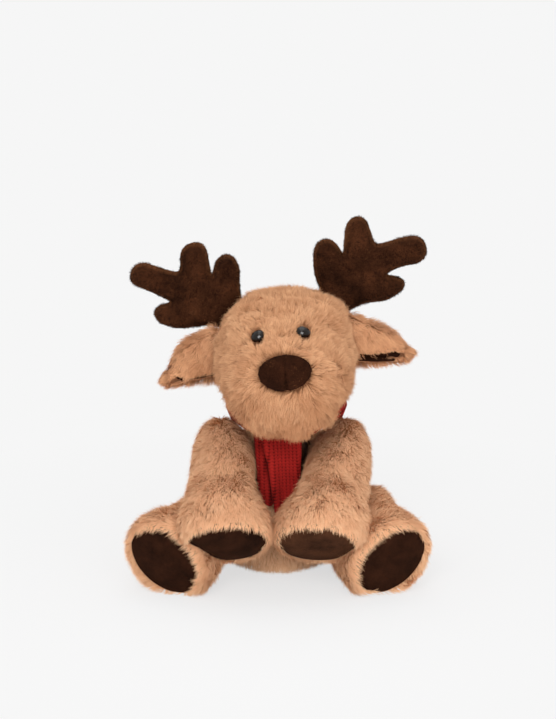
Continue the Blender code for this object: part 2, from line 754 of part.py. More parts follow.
# Antlers: padded velour covers, each a palm with four tines, bending at the sewn root
def antler_cage(outward):
    """The palm's faces with tines drawn out of its edges, given a thickness and padded."""
    bm = bmesh.new()
    depth = {}

    def put(shares, padding):
        x, z = shares
        vert = bm.verts.new((outward * x * ANTLER_SPAN, 0.0, z * ANTLER_HEIGHT))
        depth[vert] = 0.5 * ANTLER_PADDING * PADDING_SHARES[padding]
        return vert

    at = {k: put(v, "middle" if k == "middle" else "edge") for k, v in PALM_SHARES.items()}
    for names in PALM_FACES:
        bm.faces.new([at[n] for n in names])
    for first, second, mid, tip in TINE_SHARES:
        a, b = at[first], at[second]
        for step, padding in ((mid, "tine"), (tip, "tip")):
            c, d = put(step[0], padding), put(step[1], padding)
            bm.faces.new((a, c, d, b))
            a, b = c, d
    front = {v: bm.verts.new(v.co) for v in list(depth)}
    faces = list(bm.faces)
    rim = [e for e in bm.edges if e.is_boundary]
    for face in faces:
        bm.faces.new([front[v] for v in reversed(face.verts)])
    for edge in rim:
        a, b = edge.verts
        bm.faces.new((a, b, front[b], front[a]))
    for vert, half in depth.items():
        vert.co.y = half
        front[vert].co.y = -half
    bmesh.ops.recalc_face_normals(bm, faces=bm.faces)
    mesh = bpy.data.meshes.new("antler_cage")
    bm.to_mesh(mesh)
    bm.free()
    return mesh


antler_lean = {"left": LEFT_ANTLER_LEAN, "right": RIGHT_ANTLER_LEAN}
for side, outward in sides.items():
    base = Vector((outward * ANTLER_BASE_X, ANTLER_BASE_Y, ANTLER_BASE_Z))
    lean = Matrix.Rotation(outward * math.radians(antler_lean[side]), 4, "Y")
    pivot = Matrix.Translation(base) @ lean
    slope = math.radians(ANTLER_BASE_SLOPE)
    root_line = Vector((outward * math.cos(slope), 0.0, math.sin(slope)))
    root = add_pivot("antler_root_" + side, base, head_frame)
    root.matrix_local = pivot
    cage = antler_cage(outward)
    rooms = swung_heads("antler_room_" + side, pivot, root_line, ANTLER_FLEX)
    cover = soften(add_object("antler_" + side + "_cover", cage.copy(), DARK_VELOUR, root))
    cavity = soften(add_object("antler_cavity_" + side, cage.copy(), None, root), -VELOUR)
    cut(cover, cavity, *rooms)
    fill = soften(add_object("antler_" + side + "_stuffing", cage.copy(), FIBRE, root), -VELOUR - GAP)
    cut(fill, cavity, operation="INTERSECT")
    cut(fill, *rooms)


# Ears: a rolled leaf of fur cloth with a dark lining inside it
def ear_sheet(name, outward, longest):
    """The open rolled sheet between the two cloths, with its slit below and to the front."""
    bm = bmesh.new()
    rows = []
    inner_high = 0.5 * EAR_HEIGHT - EAR_FUR
    inner_wide = 0.5 * EAR_ROLL_WIDTH - EAR_FUR
    for along, high, wide in EAR_RING_SHARES:
        if along > longest:
            continue
        row = []
        for i in range(EAR_STEPS + 1):
            angle = math.radians(EAR_FRONT_EDGE + (EAR_REAR_EDGE - EAR_FRONT_EDGE) * i / EAR_STEPS)
            up = inner_high * high * math.cos(angle)
            back = inner_wide * wide * math.sin(angle)
            row.append(bm.verts.new((outward * (EAR_LENGTH * along - EAR_ROOT_SINK), back, up)))
        rows.append(row)
    for low, high in zip(rows, rows[1:]):
        for i in range(EAR_STEPS):
            corners = (low[i], high[i], high[i + 1], low[i + 1])
            bm.faces.new(corners if outward > 0.0 else reversed(corners))
    mesh = bpy.data.meshes.new(name)
    bm.to_mesh(mesh)
    bm.free()
    return mesh


for side, outward in sides.items():
    reach = Vector((outward * HEAD_LENGTH, EAR_Y, EAR_Z))
    start = head_frame.matrix_world @ reach
    way = head_frame.matrix_world.to_3x3() @ Vector((-outward, 0.0, 0.0))
    root_place = to_head @ head_tree.ray_cast(start, way)[0]
    pivot = Matrix.Translation(root_place)
    droop = Matrix.Rotation(outward * math.radians(EAR_DROOP), 4, "Y")
    root = add_pivot("ear_root_" + side, root_place, head_frame)
    rooms = swung_heads("ear_room_" + side, pivot, Vector((0.0, 0.0, 1.0)), EAR_SWING)
    for part, look, longest, shift, cloth, outer_side in (
        ("back", FUR, 1.0, 0.0, EAR_FUR, 1.0),
        ("lining", DARK_VELOUR, LINING_REACH_SHARE, -GAP, LINING, -1.0),
    ):
        name = "ear_" + side + "_" + part
        piece = add_object(name, ear_sheet(name, outward, longest), look, root)
        piece.matrix_local = droop
        if shift:
            inset = piece.modifiers.new("inset", "DISPLACE")
            inset.strength = shift
            inset.mid_level = 0.0
        wall = piece.modifiers.new("cloth", "SOLIDIFY")
        wall.thickness = cloth
        wall.offset = outer_side
        cut(piece, *rooms)

# Scarf: a rolled knitted band round the neck and two flat ends on the chest
band_bm = bmesh.new()
band_rows = []
for i in range(BAND_STEPS):
    angle = 2.0 * math.pi * i / BAND_STEPS
    outward_way = Vector((math.cos(angle), math.sin(angle), 0.0))
    middle = Vector((0.5 * BAND_WIDTH * math.cos(angle), 0.5 * BAND_DEPTH * math.sin(angle), 0.0))
    row = []
    for k in range(BAND_SIDES):
        turn = 2.0 * math.pi * k / BAND_SIDES
        place = middle + outward_way * BAND_ROLL * math.cos(turn)
        place.z = BAND_HALF_HEIGHT * math.sin(turn)
        row.append(band_bm.verts.new(place))
    band_rows.append(row)
for i in range(BAND_STEPS):
    low, high = band_rows[i], band_rows[(i + 1) % BAND_STEPS]
    for k in range(BAND_SIDES):
        j = (k + 1) % BAND_SIDES
        band_bm.faces.new((low[k], low[j], high[j], high[k]))
bmesh.ops.recalc_face_normals(band_bm, faces=band_bm.faces)
band_mesh = bpy.data.meshes.new("scarf_band")
band_bm.to_mesh(band_mesh)
band_bm.free()
scarf_band = add_object("scarf_band", band_mesh, RED_KNIT)
band_room = add_object("band_room", band_mesh.copy())
for piece in (scarf_band, band_room):
    piece.location = (BAND_X, BAND_Y, BAND_HEIGHT_SHARE * BODY_HEIGHT)
    piece.rotation_euler = (math.radians(BAND_TILT), 0.0, 0.0)
    piece.modifiers.new("facets", "TRIANGULATE")
room_margin = band_room.modifiers.new("offset", "DISPLACE")
room_margin.strength = GAP
room_margin.mid_level = 0.0
trunk_room = soften(add_object("trunk_room", body_cage.copy()), GAP)
head_rooms = []
for turn in (-NECK_SWING, 0.0, NECK_SWING):
    room = soften(add_object("head_room_band", head_cage.copy()), GAP)
    nodded = swung(neck_place, "X", NOD_DOWN) @ head_frame.matrix_world
    room.matrix_local = swung(neck_place, "Z", turn) @ nodded
    head_rooms.append(room)
cut(scarf_band, trunk_room, *arm_rooms, *head_rooms)

chest = surface_tree(soften(add_object("chest_form", body_cage.copy())))


def on_chest(x, z):
    place, _, _, _ = chest.ray_cast(Vector((x, -BODY_DEPTH, z)), Vector((0.0, 1.0, 0.0)))
    return place.y


def scarf_end(name, middle_x, width, length, lift, fold_turn):
    """A strip of knit that lies on the chest with one soft fold down it."""
    bm = bmesh.new()
    rows = []
    for i in range(END_STEPS_DOWN + 1):
        down = i / END_STEPS_DOWN
        row = []
        for k in range(END_STEPS_ACROSS + 1):
            across = k / END_STEPS_ACROSS - 0.5
            x = middle_x + width * across * (1.0 - END_TAPER_SHARE * down)
            z = END_TOP_SHARE * BODY_HEIGHT - length * down
            fold = END_FOLD * (1.0 + math.cos(2.0 * math.pi * across + math.radians(fold_turn) + down))
            row.append(bm.verts.new((x, on_chest(x, z) - lift - fold, z)))
        rows.append(row)
    for low, high in zip(rows, rows[1:]):
        for k in range(END_STEPS_ACROSS):
            bm.faces.new((low[k], low[k + 1], high[k + 1], high[k]))
    mesh = bpy.data.meshes.new(name)
    bm.to_mesh(mesh)
    bm.free()
    piece = add_object(name, mesh, RED_KNIT)
    wall = piece.modifiers.new("cloth", "SOLIDIFY")
    wall.thickness = KNIT
    wall.offset = 0.0
    return cut(piece, trunk_room, band_room)


first_lift = GAP + 0.5 * KNIT
second_lift = first_lift + KNIT + 2.0 * END_FOLD + GAP
scarf_end("scarf_narrow_end", NARROW_END_X, NARROW_END_WIDTH, NARROW_END_LENGTH, first_lift, NARROW_FOLD_TURN)
scarf_end("scarf_wide_end", WIDE_END_X, WIDE_END_WIDTH, WIDE_END_LENGTH, second_lift, WIDE_FOLD_TURN)

# Tail: a short stub of fur low on the back
trunk_back = chest.ray_cast(Vector((0.0, BODY_DEPTH, TAIL_Z)), Vector((0.0, -1.0, 0.0)))[0]
tail_pivot = add_pivot("tail_root", trunk_back)
tail_rings = []
for along, wide, thick in TAIL_RING_SHARES:
    centre = Vector((0.0, TAIL_LENGTH * (along - TAIL_ROOT_SHARE), 0.0))
    across = Vector((0.5 * TAIL_WIDTH * wide, 0.0, 0.0))
    over = Vector((0.0, 0.0, 0.5 * TAIL_THICKNESS * thick))
    tail_rings.append((centre, across, over))
tail_rise = Matrix.Rotation(math.radians(TAIL_RISE), 4, "X")
tail = soften(add_object("tail", loft("tail", tail_rings, LIMB_SIDES), FUR, tail_pivot))
tail.matrix_local = tail_rise
bpy.context.view_layer.update()
tail_place = tail_pivot.matrix_world
for k, turn in enumerate((-TAIL_SWING, 0.0, TAIL_SWING)):
    room = soften(add_object("tail_room_" + str(k), body_cage.copy()), GAP)
    spin = Matrix.Rotation(math.radians(turn), 4, "X")
    room.matrix_local = tail_place @ spin @ tail_place.inverted()
    cut(tail, room)
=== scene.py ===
"""Sitting plush deer: pile fabric over stuffing, velour antlers, and a knitted scarf."""

import math

import bmesh
import bpy
import numpy as np
from mathutils import Matrix, Vector
from mathutils.bvhtree import BVHTree
from mathutils.geometry import delaunay_2d_cdt
from mathutils.kdtree import KDTree


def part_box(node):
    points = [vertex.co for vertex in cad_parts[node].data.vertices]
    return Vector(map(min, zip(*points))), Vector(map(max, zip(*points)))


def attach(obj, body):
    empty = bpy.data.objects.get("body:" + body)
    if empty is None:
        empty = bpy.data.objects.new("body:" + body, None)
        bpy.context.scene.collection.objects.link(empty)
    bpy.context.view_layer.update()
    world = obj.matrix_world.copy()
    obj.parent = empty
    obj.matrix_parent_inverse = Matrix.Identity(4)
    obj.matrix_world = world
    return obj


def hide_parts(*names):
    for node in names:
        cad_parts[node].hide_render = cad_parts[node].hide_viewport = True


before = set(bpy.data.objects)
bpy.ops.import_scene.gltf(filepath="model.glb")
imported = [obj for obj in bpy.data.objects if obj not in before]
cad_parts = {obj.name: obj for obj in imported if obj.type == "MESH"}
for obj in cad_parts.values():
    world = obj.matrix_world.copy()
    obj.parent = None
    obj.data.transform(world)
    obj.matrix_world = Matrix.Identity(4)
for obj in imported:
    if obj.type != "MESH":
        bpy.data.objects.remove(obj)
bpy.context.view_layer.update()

# Trunk: a pear of long-pile fabric, sewn in gores and filled with fibre, with a pellet bag in the
# seat. The woven backing is a closed soft form, and the pile stands on it as separate tufts.
MILLIMETRE = 0.001
PILE_DEPTH = 5.0 * MILLIMETRE
FORM_VOXEL = 2.6 * MILLIMETRE


def placed(name, data):
    """A new object of that data, linked into the scene."""
    made = bpy.data.objects.new(name, data)
    bpy.context.scene.collection.objects.link(made)
    return made


def coords(piece):
    """The places of a piece's vertices, one row each."""
    spots = np.empty(len(piece.data.vertices) * 3)
    piece.data.vertices.foreach_get("co", spots)
    return spots.reshape(-1, 3)


def set_coords(piece, spots):
    piece.data.vertices.foreach_set("co", spots.reshape(-1))


def tree_of(piece):
    """A search tree over the faces of a piece."""
    return BVHTree.FromPolygons([v.co for v in piece.data.vertices], [p.vertices for p in piece.data.polygons])


def bare_copy(name, nodes):
    """One loose object that holds merged copies of the CAD solids of those names."""
    bm = bmesh.new()
    for node in nodes:
        bm.from_mesh(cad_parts[node].data)
    bmesh.ops.remove_doubles(bm, verts=bm.verts, dist=0.01 * MILLIMETRE)
    mesh = bpy.data.meshes.new(name)
    bm.to_mesh(mesh)
    bm.free()
    return placed(name, mesh)


def apply_all(piece):
    bpy.ops.object.select_all(action="DESELECT")
    piece.select_set(True)
    bpy.context.view_layer.objects.active = piece
    for modifier in list(piece.modifiers):
        bpy.ops.object.modifier_apply(modifier=modifier.name)


def keep_largest(piece):
    """Drops the bubbles that remeshing leaves inside a form."""
    bm = bmesh.new()
    bm.from_mesh(piece.data)
    left = set(bm.verts)
    groups = []
    while left:
        seed = left.pop()
        group, edge = [seed], [seed]
        while edge:
            vert = edge.pop()
            for link in vert.link_edges:
                other = link.other_vert(vert)
                if other in left:
                    left.remove(other)
                    group.append(other)
                    edge.append(other)
        groups.append(group)
    groups.sort(key=len)
    for group in groups[:-1]:
        bmesh.ops.delete(bm, geom=group, context="VERTS")
    bm.to_mesh(piece.data)
    bm.free()


def stuffed_form(name, nodes, rounds=12, voxel=FORM_VOXEL, swell=0.0):
    """The soft closed form that the named CAD solids make together, swelled outward a little."""
    piece = bare_copy(name, nodes)
    remesh = piece.modifiers.new("remesh", "REMESH")
    remesh.mode = "VOXEL"
    remesh.voxel_size = voxel
    soften = piece.modifiers.new("soften", "CORRECTIVE_SMOOTH")
    soften.use_only_smooth = True
    soften.smooth_type = "SIMPLE"
    soften.iterations = rounds
    soften.factor = 0.5
    if swell:
        grow = piece.modifiers.new("swell", "DISPLACE")
        grow.strength = swell
        grow.mid_level = 0.0
    apply_all(piece)
    keep_largest(piece)
    piece.data.shade_smooth()
    return piece


def fatten(piece, middle, way, reach, amount):
    """Swells the end of a limb outward from its own axis, the most beside the end panel."""
    spots = coords(piece)
    offset = spots - np.array(middle)
    along = offset @ np.array(way)
    radial = offset - along[:, None] * np.array(way)
    share = np.clip((along + reach) / (0.55 * reach), 0.0, 1.0)
    share = share * share * (3.0 - 2.0 * share)
    spots += unit(radial) * (amount * share)[:, None]
    set_coords(piece, spots)


def mould(piece, pushes):
    """Pushes parts of a form out or in: each push has a middle, a reach and a shift."""
    spots = coords(piece)
    moved = spots.copy()
    for middle, reach, shift in pushes:
        away = (spots - np.array(middle)) / np.array(reach)
        moved += np.exp(-(away**2).sum(axis=1))[:, None] * np.array(shift)
    set_coords(piece, moved)


def shell_of(piece, name, depth):
    """A copy of a form drawn in by the depth, which is the backing that the pile stands on."""
    shell = placed(name, piece.data.copy())
    draw_in = shell.modifiers.new("draw in", "DISPLACE")
    draw_in.strength = -depth
    draw_in.mid_level = 0.0
    soften = shell.modifiers.new("soften", "SMOOTH")
    soften.iterations = 4
    apply_all(shell)
    return shell


def drift(points, size, seed):
    """Smooth vectors that wander over space, within about one either way."""
    rng = np.random.default_rng(seed)
    waves = rng.normal(size=(9, 3)) * (2.0 * math.pi / size) * 0.6
    phases = rng.uniform(0.0, 2.0 * math.pi, (9, 3))
    swing = points @ waves.T
    return np.stack([np.sin(swing + phases[:, k]).sum(axis=1) for k in range(3)], axis=1) / 3.0


def unit(vectors):
    return vectors / np.maximum(np.linalg.norm(vectors, axis=1, keepdims=True), 1e-9)


def scatter(piece, per_square_mm, seed, keep=None):
    """Random places on a form with the form's own directions there."""
    mesh = piece.data
    mesh.calc_loop_triangles()
    spots = coords(piece)
    ways = np.empty(len(mesh.vertices) * 3)
    mesh.vertices.foreach_get("normal", ways)
    ways = ways.reshape(-1, 3)
    tris = np.empty(len(mesh.loop_triangles) * 3, dtype=np.int64)
    mesh.loop_triangles.foreach_get("vertices", tris)
    tris = tris.reshape(-1, 3)
    a, b, c = spots[tris[:, 0]], spots[tris[:, 1]], spots[tris[:, 2]]
    areas = 0.5 * np.linalg.norm(np.cross(b - a, c - a), axis=1)
    rng = np.random.default_rng(seed)
    total = int(areas.sum() / MILLIMETRE**2 * per_square_mm)
    face = np.searchsorted(np.cumsum(areas) / areas.sum(), rng.uniform(size=total))
    face = np.minimum(face, len(areas) - 1)
    u, v = rng.uniform(size=(2, total, 1))
    flip = (u + v) > 1.0
    u, v = np.where(flip, 1.0 - u, u), np.where(flip, 1.0 - v, v)
    at = a[face] + u * (b[face] - a[face]) + v * (c[face] - a[face])
    n0, n1, n2 = (ways[tris[face, k]] for k in range(3))
    out = unit(n0 + u * (n1 - n0) + v * (n2 - n0))
    if keep is not None:
        kept = keep(at, out)
        at, out = at[kept], out[kept]
    return at, out, rng


def pile(name, form, per_square_mm, length, lay, seed, keep=None, lean=0.75, width=0.34, clump=0.5,
         tone_at=None, depth=PILE_DEPTH, longer=None, tuft=2.1 * MILLIMETRE, wander=1.0):
    """The pile of one form: tapered tufts that lean the way the fabric was brushed."""
    at, out, rng = scatter(form, per_square_mm, seed, keep)
    count = len(at)
    brushed = lay(at, out) + 0.35 * wander * drift(at, 22.0 * MILLIMETRE, seed + 1)
    brushed += 0.30 * wander * drift(at, 7.0 * MILLIMETRE, seed + 2)
    brushed -= out * (brushed * out).sum(axis=1, keepdims=True)
    brushed = unit(brushed)
    lengths = length * rng.uniform(0.72, 1.18, (count, 1))
    if longer is not None:
        lengths = lengths * longer(at, out)[:, None]
    leans = lean * (1.0 + 0.3 * wander * drift(at, 15.0 * MILLIMETRE, seed + 3)[:, :1])
    leans += rng.normal(0.0, 0.13, (count, 1))
    roots = at - out * depth
    wild = rng.normal(0.0, 0.16, (count, 3))
    first = unit(out * (1.05 - 0.35 * leans) + brushed * leans * 0.75 + wild)
    second = unit(out * (0.75 - 0.62 * leans) + brushed * (leans * 1.1) + wild * 1.3)
    middles = roots + first * lengths * 0.5
    tips = middles + second * lengths * 0.5
    # Neighbours cling together, so that the pile falls in small tufts.
    cells = np.floor((at + drift(at, 8.0 * MILLIMETRE, seed + 6) * 2.2 * MILLIMETRE) / tuft).astype(np.int64)
    cells -= cells.min(axis=0)
    keys = (cells[:, 0] * 4096 + cells[:, 1]) * 4096 + cells[:, 2]
    _, nearest, members = np.unique(keys, return_inverse=True, return_counts=True)
    nearest = nearest.reshape(-1)
    tufts = len(members)

    def tuft_mean(points):
        sums = [np.bincount(nearest, weights=points[:, k], minlength=tufts) / members for k in range(3)]
        return np.stack(sums, axis=1)

    stray = rng.normal(0.0, 0.5 * MILLIMETRE, (tufts, 3))
    cling = clump * rng.uniform(0.35, 1.0, (count, 1))
    tips = tips + ((tuft_mean(tips) + stray)[nearest] - tips) * cling
    middles = middles + (tuft_mean(middles)[nearest] - middles) * cling * 0.3
    along = unit(tips - roots)
    aside = unit(np.cross(along, out))
    roots[:, 2] = np.maximum(roots[:, 2], 0.6 * MILLIMETRE)
    middles[:, 2] = np.maximum(middles[:, 2], 0.5 * MILLIMETRE)
    tips[:, 2] = np.maximum(tips[:, 2], 0.4 * MILLIMETRE)
    roll = rng.normal(0.0, 0.45, (count, 1))
    facing = np.cross(aside, along)
    aside = aside * np.cos(roll) + facing * np.sin(roll)
    half = 0.5 * width * MILLIMETRE * rng.uniform(0.7, 1.25, (count, 1))
    verts = np.stack(
        (roots - aside * half, roots + aside * half, middles + aside * half * 0.85, middles - aside * half * 0.85,
         tips), axis=1).reshape(-1, 3)
    tone = 0.5 + 0.15 * rng.normal(size=count) + 0.16 * drift(at, 5.0 * MILLIMETRE, seed + 4)[:, 0]
    tone += 0.12 * wander * drift(at, 24.0 * MILLIMETRE, seed + 5)[:, 1]
    tone += (rng.uniform(size=tufts)[nearest] - 0.5) * 0.30
    if tone_at is not None:
        tone += tone_at(at, out)
    tone = np.clip(tone, 0.02, 0.98)
    flat = np.cross(aside, along)
    soft = unit(out * 0.8 + flat * 0.35 * np.sign((flat * out).sum(axis=1))[:, None])
    base = np.arange(count)[:, None] * 5
    loops = (base + np.array([[0, 1, 2, 3, 3, 2, 4]])).reshape(-1)
    starts = (np.arange(count)[:, None] * 7 + np.array([[0, 4]])).reshape(-1)
    mesh = bpy.data.meshes.new(name)
    mesh.vertices.add(count * 5)
    mesh.vertices.foreach_set("co", verts.reshape(-1))
    mesh.loops.add(count * 7)
    mesh.loops.foreach_set("vertex_index", loops)
    mesh.polygons.add(count * 2)
    mesh.polygons.foreach_set("loop_start", starts)
    mesh.update()
    over = np.array([0.02, 0.02, 0.5, 0.5, 0.5, 0.5, 0.98])
    shift = np.array([-1.0, 1.0, 1.0, -1.0, -1.0, 1.0, 0.0]) * 0.004
    uv = np.stack((tone[:, None] + shift, np.broadcast_to(over, (count, 7))), axis=2)
    layer = mesh.uv_layers.new(name="OFBake")
    layer.data.foreach_set("uv", uv.reshape(-1))
    mesh.shade_smooth()
    mesh.normals_split_custom_set_from_vertices(np.repeat(soft, 5, axis=0))
    return placed(name, mesh)


class Shade:
    """A shader socket, so that maths on values can be written as plain sums."""

    def __init__(self, tree, socket):
        self.tree = tree
        self.socket = socket

    def maths(self, operation, *others):
        node = self.tree.nodes.new("ShaderNodeMath")
        node.operation = operation
        for slot, value in zip(node.inputs, (self, *others)):
            if isinstance(value, Shade):
                self.tree.links.new(value.socket, slot)
            else:
                slot.default_value = value
        return Shade(self.tree, node.outputs[0])

    def __add__(self, other):
        return self.maths("ADD", other)

    __radd__ = __add__

    def __mul__(self, other):
        return self.maths("MULTIPLY", other)

    __rmul__ = __mul__

    def __sub__(self, other):
        return self.maths("SUBTRACT", other)

    def __rsub__(self, other):
        return (self * -1.0) + other

    def clipped(self, low, high):
        return self.maths("MAXIMUM", low).maths("MINIMUM", high)


class Finish:
    """A material whose nodes are added by name, with their settings and values."""

    def __init__(self, name, roughness=0.9, specular=0.5, sheen=0.0, sheen_tint=(1.0, 1.0, 1.0)):
        self.material = bpy.data.materials.new(name)
        self.material.use_nodes = True
        self.tree = self.material.node_tree
        self.shader = self.tree.nodes["Principled BSDF"]
        self.shader.inputs["Roughness"].default_value = roughness
        self.shader.inputs["Sheen Weight"].default_value = sheen
        self.shader.inputs["Sheen Roughness"].default_value = 0.45
        self.shader.inputs["Sheen Tint"].default_value = (*sheen_tint, 1.0)
        self.shader.inputs["Specular IOR Level"].default_value = specular

    def node(self, kind, values=(), output=0, **settings):
        made = self.tree.nodes.new(kind)
        for key, value in settings.items():
            setattr(made, key, value)
        for key, value in dict(values).items():
            if isinstance(value, Shade):
                self.tree.links.new(value.socket, made.inputs[key])
            else:
                made.inputs[key].default_value = value
        return Shade(self.tree, made.outputs[output])

    def ramp(self, value, stops):
        made = self.tree.nodes.new("ShaderNodeValToRGB")
        band = made.color_ramp
        while len(band.elements) < len(stops):
            band.elements.new(0.5)
        for element, (place, colour) in zip(band.elements, stops):
            element.position = place
            element.color = (*colour, 1.0)
        self.tree.links.new(value.socket, made.inputs[0])
        return Shade(self.tree, made.outputs[0])

    def blend(self, factor, first, second):
        made = self.tree.nodes.new("ShaderNodeMix")
        made.data_type = "RGBA"
        for slot, value in ((made.inputs[0], factor), (made.inputs[6], first), (made.inputs[7], second)):
            if isinstance(value, Shade):
                self.tree.links.new(value.socket, slot)
            elif isinstance(value, tuple):
                slot.default_value = (*value, 1.0)
            else:
                slot.default_value = value
        return Shade(self.tree, made.outputs[2])

    def place(self):
        return self.node("ShaderNodeTexCoord", output="Object")

    def noise(self, size, detail=2.0, roughness=0.5):
        values = {"Vector": self.place(), "Scale": 1.0 / size, "Detail": detail, "Roughness": roughness}
        return self.node("ShaderNodeTexNoise", values, output="Fac")

    def tuft(self):
        """The two values of a pile's map: the tone of the tuft, and the share of its length."""
        split = self.tree.nodes.new("ShaderNodeSeparateXYZ")
        self.tree.links.new(self.node("ShaderNodeUVMap", uv_map="OFBake").socket, split.inputs[0])
        return [Shade(self.tree, split.outputs[k]) for k in (0, 1)]

    def colour(self, value):
        if isinstance(value, Shade):
            self.tree.links.new(value.socket, self.shader.inputs["Base Color"])
        else:
            self.shader.inputs["Base Color"].default_value = (*value, 1.0)

    def relief(self, height, distance, strength=1.0):
        bump = self.node("ShaderNodeBump", {"Height": height, "Distance": distance, "Strength": strength})
        self.tree.links.new(bump.socket, self.shader.inputs["Normal"])

    def on(self, *pieces):
        for piece in pieces:
            piece.data.materials.clear()
            piece.data.materials.append(self.material)


def tan_pile(name, deep_stops, pale_stops):
    """Tan pile: darker at the root as painted shade deep in the pile, redder there, pale at the tip, each tuft of its
    own tone.
    """
    finish = Finish(name, roughness=0.9, specular=0.2, sheen=0.04, sheen_tint=(1.0, 0.62, 0.38))
    tone, along = finish.tuft()
    # Along each tuft the colour runs from dark at the root to pale at the tip: painted shade deep in the pile.
    deep, pale = (finish.ramp(along, tuple(zip((0.0, 0.45, 1.0), stops))) for stops in (deep_stops, pale_stops))
    finish.colour(finish.blend(tone, deep, pale))
    return finish


def ground(name):
    """The finish of a woven ground that pile stands on, and the mottle that its colours follow."""
    finish = Finish(name, roughness=1.0)
    mottle = finish.noise(2.5 * MILLIMETRE, detail=3.0)
    finish.relief(finish.noise(0.8 * MILLIMETRE), 0.6 * MILLIMETRE)
    return finish, mottle


def tan_backing(name, dark, light):
    finish, mottle = ground(name)
    finish.colour(finish.ramp(mottle, ((0.3, dark), (0.7, light))))
    return finish


FUR = tan_pile("tan pile", ((0.26, 0.094, 0.038), (0.54, 0.240, 0.110), (0.66, 0.320, 0.160)),
               ((0.42, 0.172, 0.076), (0.78, 0.410, 0.210), (0.90, 0.530, 0.300)))
# A copy of the tan pile painted lighter, for the trunk, legs, arms and tail: painted light where their pile lies in
# shade. The lighter ground colours below go with it.
LIT_LIMB_FUR = tan_pile("tan pile, painted lighter", ((0.53, 0.250, 0.122), (0.76, 0.400, 0.212), (0.85, 0.480, 0.268)),
                    ((0.68, 0.350, 0.180), (0.91, 0.545, 0.310), (0.96, 0.650, 0.405)))
# A copy of the tan pile painted darker for the head: painted shade where the head is well lit.
SHADED_HEAD_FUR = tan_pile("tan pile, head, painted darker", ((0.235, 0.084, 0.034), (0.51, 0.233, 0.108), (0.63, 0.313, 0.158)),
                    ((0.38, 0.157, 0.069), (0.75, 0.398, 0.205), (0.87, 0.520, 0.295)))
LIT_GROUND_COLOURS = ((0.46, 0.205, 0.098), (0.66, 0.335, 0.170))
BACKING = tan_backing("tan pile backing", (0.30, 0.120, 0.052), (0.50, 0.225, 0.105))
LIT_LIMB_BACKING = tan_backing("tan pile backing, painted lighter", *LIT_GROUND_COLOURS)


def trunk_ground(name, shade_from=0.046, middle_x=0.004):
    """The trunk's woven ground: dark with painted shade in the middle above a height, under the scarf, and tan
    elsewhere.
    """
    finish, mottle = ground(name)
    # Painted shade: the dark ground stands where the head, the arms and the scarf shade the chest.
    shaded = finish.ramp(mottle, ((0.3, (0.050, 0.019, 0.009)), (0.7, (0.110, 0.045, 0.022))))
    plain = finish.ramp(mottle, tuple(zip((0.3, 0.7), LIT_GROUND_COLOURS)))
    height = finish.node("ShaderNodeSeparateXYZ", {0: finish.place()}, output=2)
    aside = finish.node("ShaderNodeSeparateXYZ", {0: finish.place()}, output=0) - middle_x
    beside = (0.0018 - aside * aside) * 2000.0
    above = (height - shade_from) * 60.0
    finish.colour(finish.blend(above.clipped(0.0, 1.0) * beside.clipped(0.0, 1.0), plain, shaded))
    return finish


CHEST_BACKING = trunk_ground("trunk pile backing")


def brushed(way):
    """Pile that is all brushed one way."""

    def lay(at, out):
        return np.broadcast_to(np.array(way), at.shape) * 1.0

    return lay


hangs = brushed((0.0, 0.0, -1.0))
trunk =stuffed_form("trunk_form", ("body_skin", "body_stuffing", "pellet_bag"), rounds=10)
mould(trunk, (((0.000, -0.036, 0.004), (0.058, 0.030, 0.020), (0.0, -0.0135, -0.002)),))
trunk_backing = shell_of(trunk, "trunk_backing", PILE_DEPTH)


def in_view_of_air(at, out):
    """Drops the tufts that are pressed flat: under the seat, the arms and the scarf, and at the hips; the bare chest
    shows painted shade.
    """
    under_arms = (np.abs(at[:, 0] - 0.004) > 0.041) & (at[:, 1] < 0.004) & (at[:, 2] > 0.075) & (at[:, 2] < 0.108)
    at_hips = (np.abs(at[:, 0]) > 0.040) & (at[:, 1] < 0.012) & (at[:, 2] < 0.052)
    chest = (np.abs(at[:, 0] - 0.002) < 0.034) & (at[:, 1] < -0.005) & (at[:, 2] > 0.060)
    return (at[:, 2] > 2.5 * MILLIMETRE) & ~under_arms & ~at_hips & ~chest


# Painted light: the pile low on the trunk is made paler, against the shade under the paws.
def seat_painted_light(at, out):
    return 0.80 * np.clip((0.060 - at[:, 2]) / 0.02, 0.0, 1.0)


trunk_pile = pile("trunk_pile", trunk, 1.6, 9.0 * MILLIMETRE, hangs, 11, keep=in_view_of_air, width=0.40, wander=0.6,
                  tone_at=seat_painted_light)
CHEST_BACKING.on(trunk_backing)
LIT_LIMB_FUR.on(trunk_pile)
for piece in (trunk_backing, trunk_pile):
    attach(piece, "torso")
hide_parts("body_skin", "body_stuffing", "pellet_bag")
bpy.data.objects.remove(trunk)

# Legs: tapered tubes of the same pile, sewn in at the hips, each with an oval velour sole that
# closes the end of the foot. The pile fringes over the sole's edge.


def away_from(middle, other):
    """Pile brushed from one point towards another and beyond."""
    way = np.array(other - middle)
    way = way / np.linalg.norm(way)

    def lay(at, out):
        return np.broadcast_to(way, at.shape) + 0.35 * np.array([0.0, 0.0, -1.0])

    return lay


def panel_place(node):
    """The middle of a CAD panel and the direction that it faces."""
    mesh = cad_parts[node].data
    middle = Vector()
    facing = Vector()
    total = 0.0
    for face in mesh.polygons:
        middle += face.center * face.area
        total += face.area
    middle /= total
    for face in mesh.polygons:
        if (face.center - middle).dot(face.normal) > 0.0 and face.normal.y < 0.0:
            facing += face.normal * face.area
    return middle, facing.normalized()


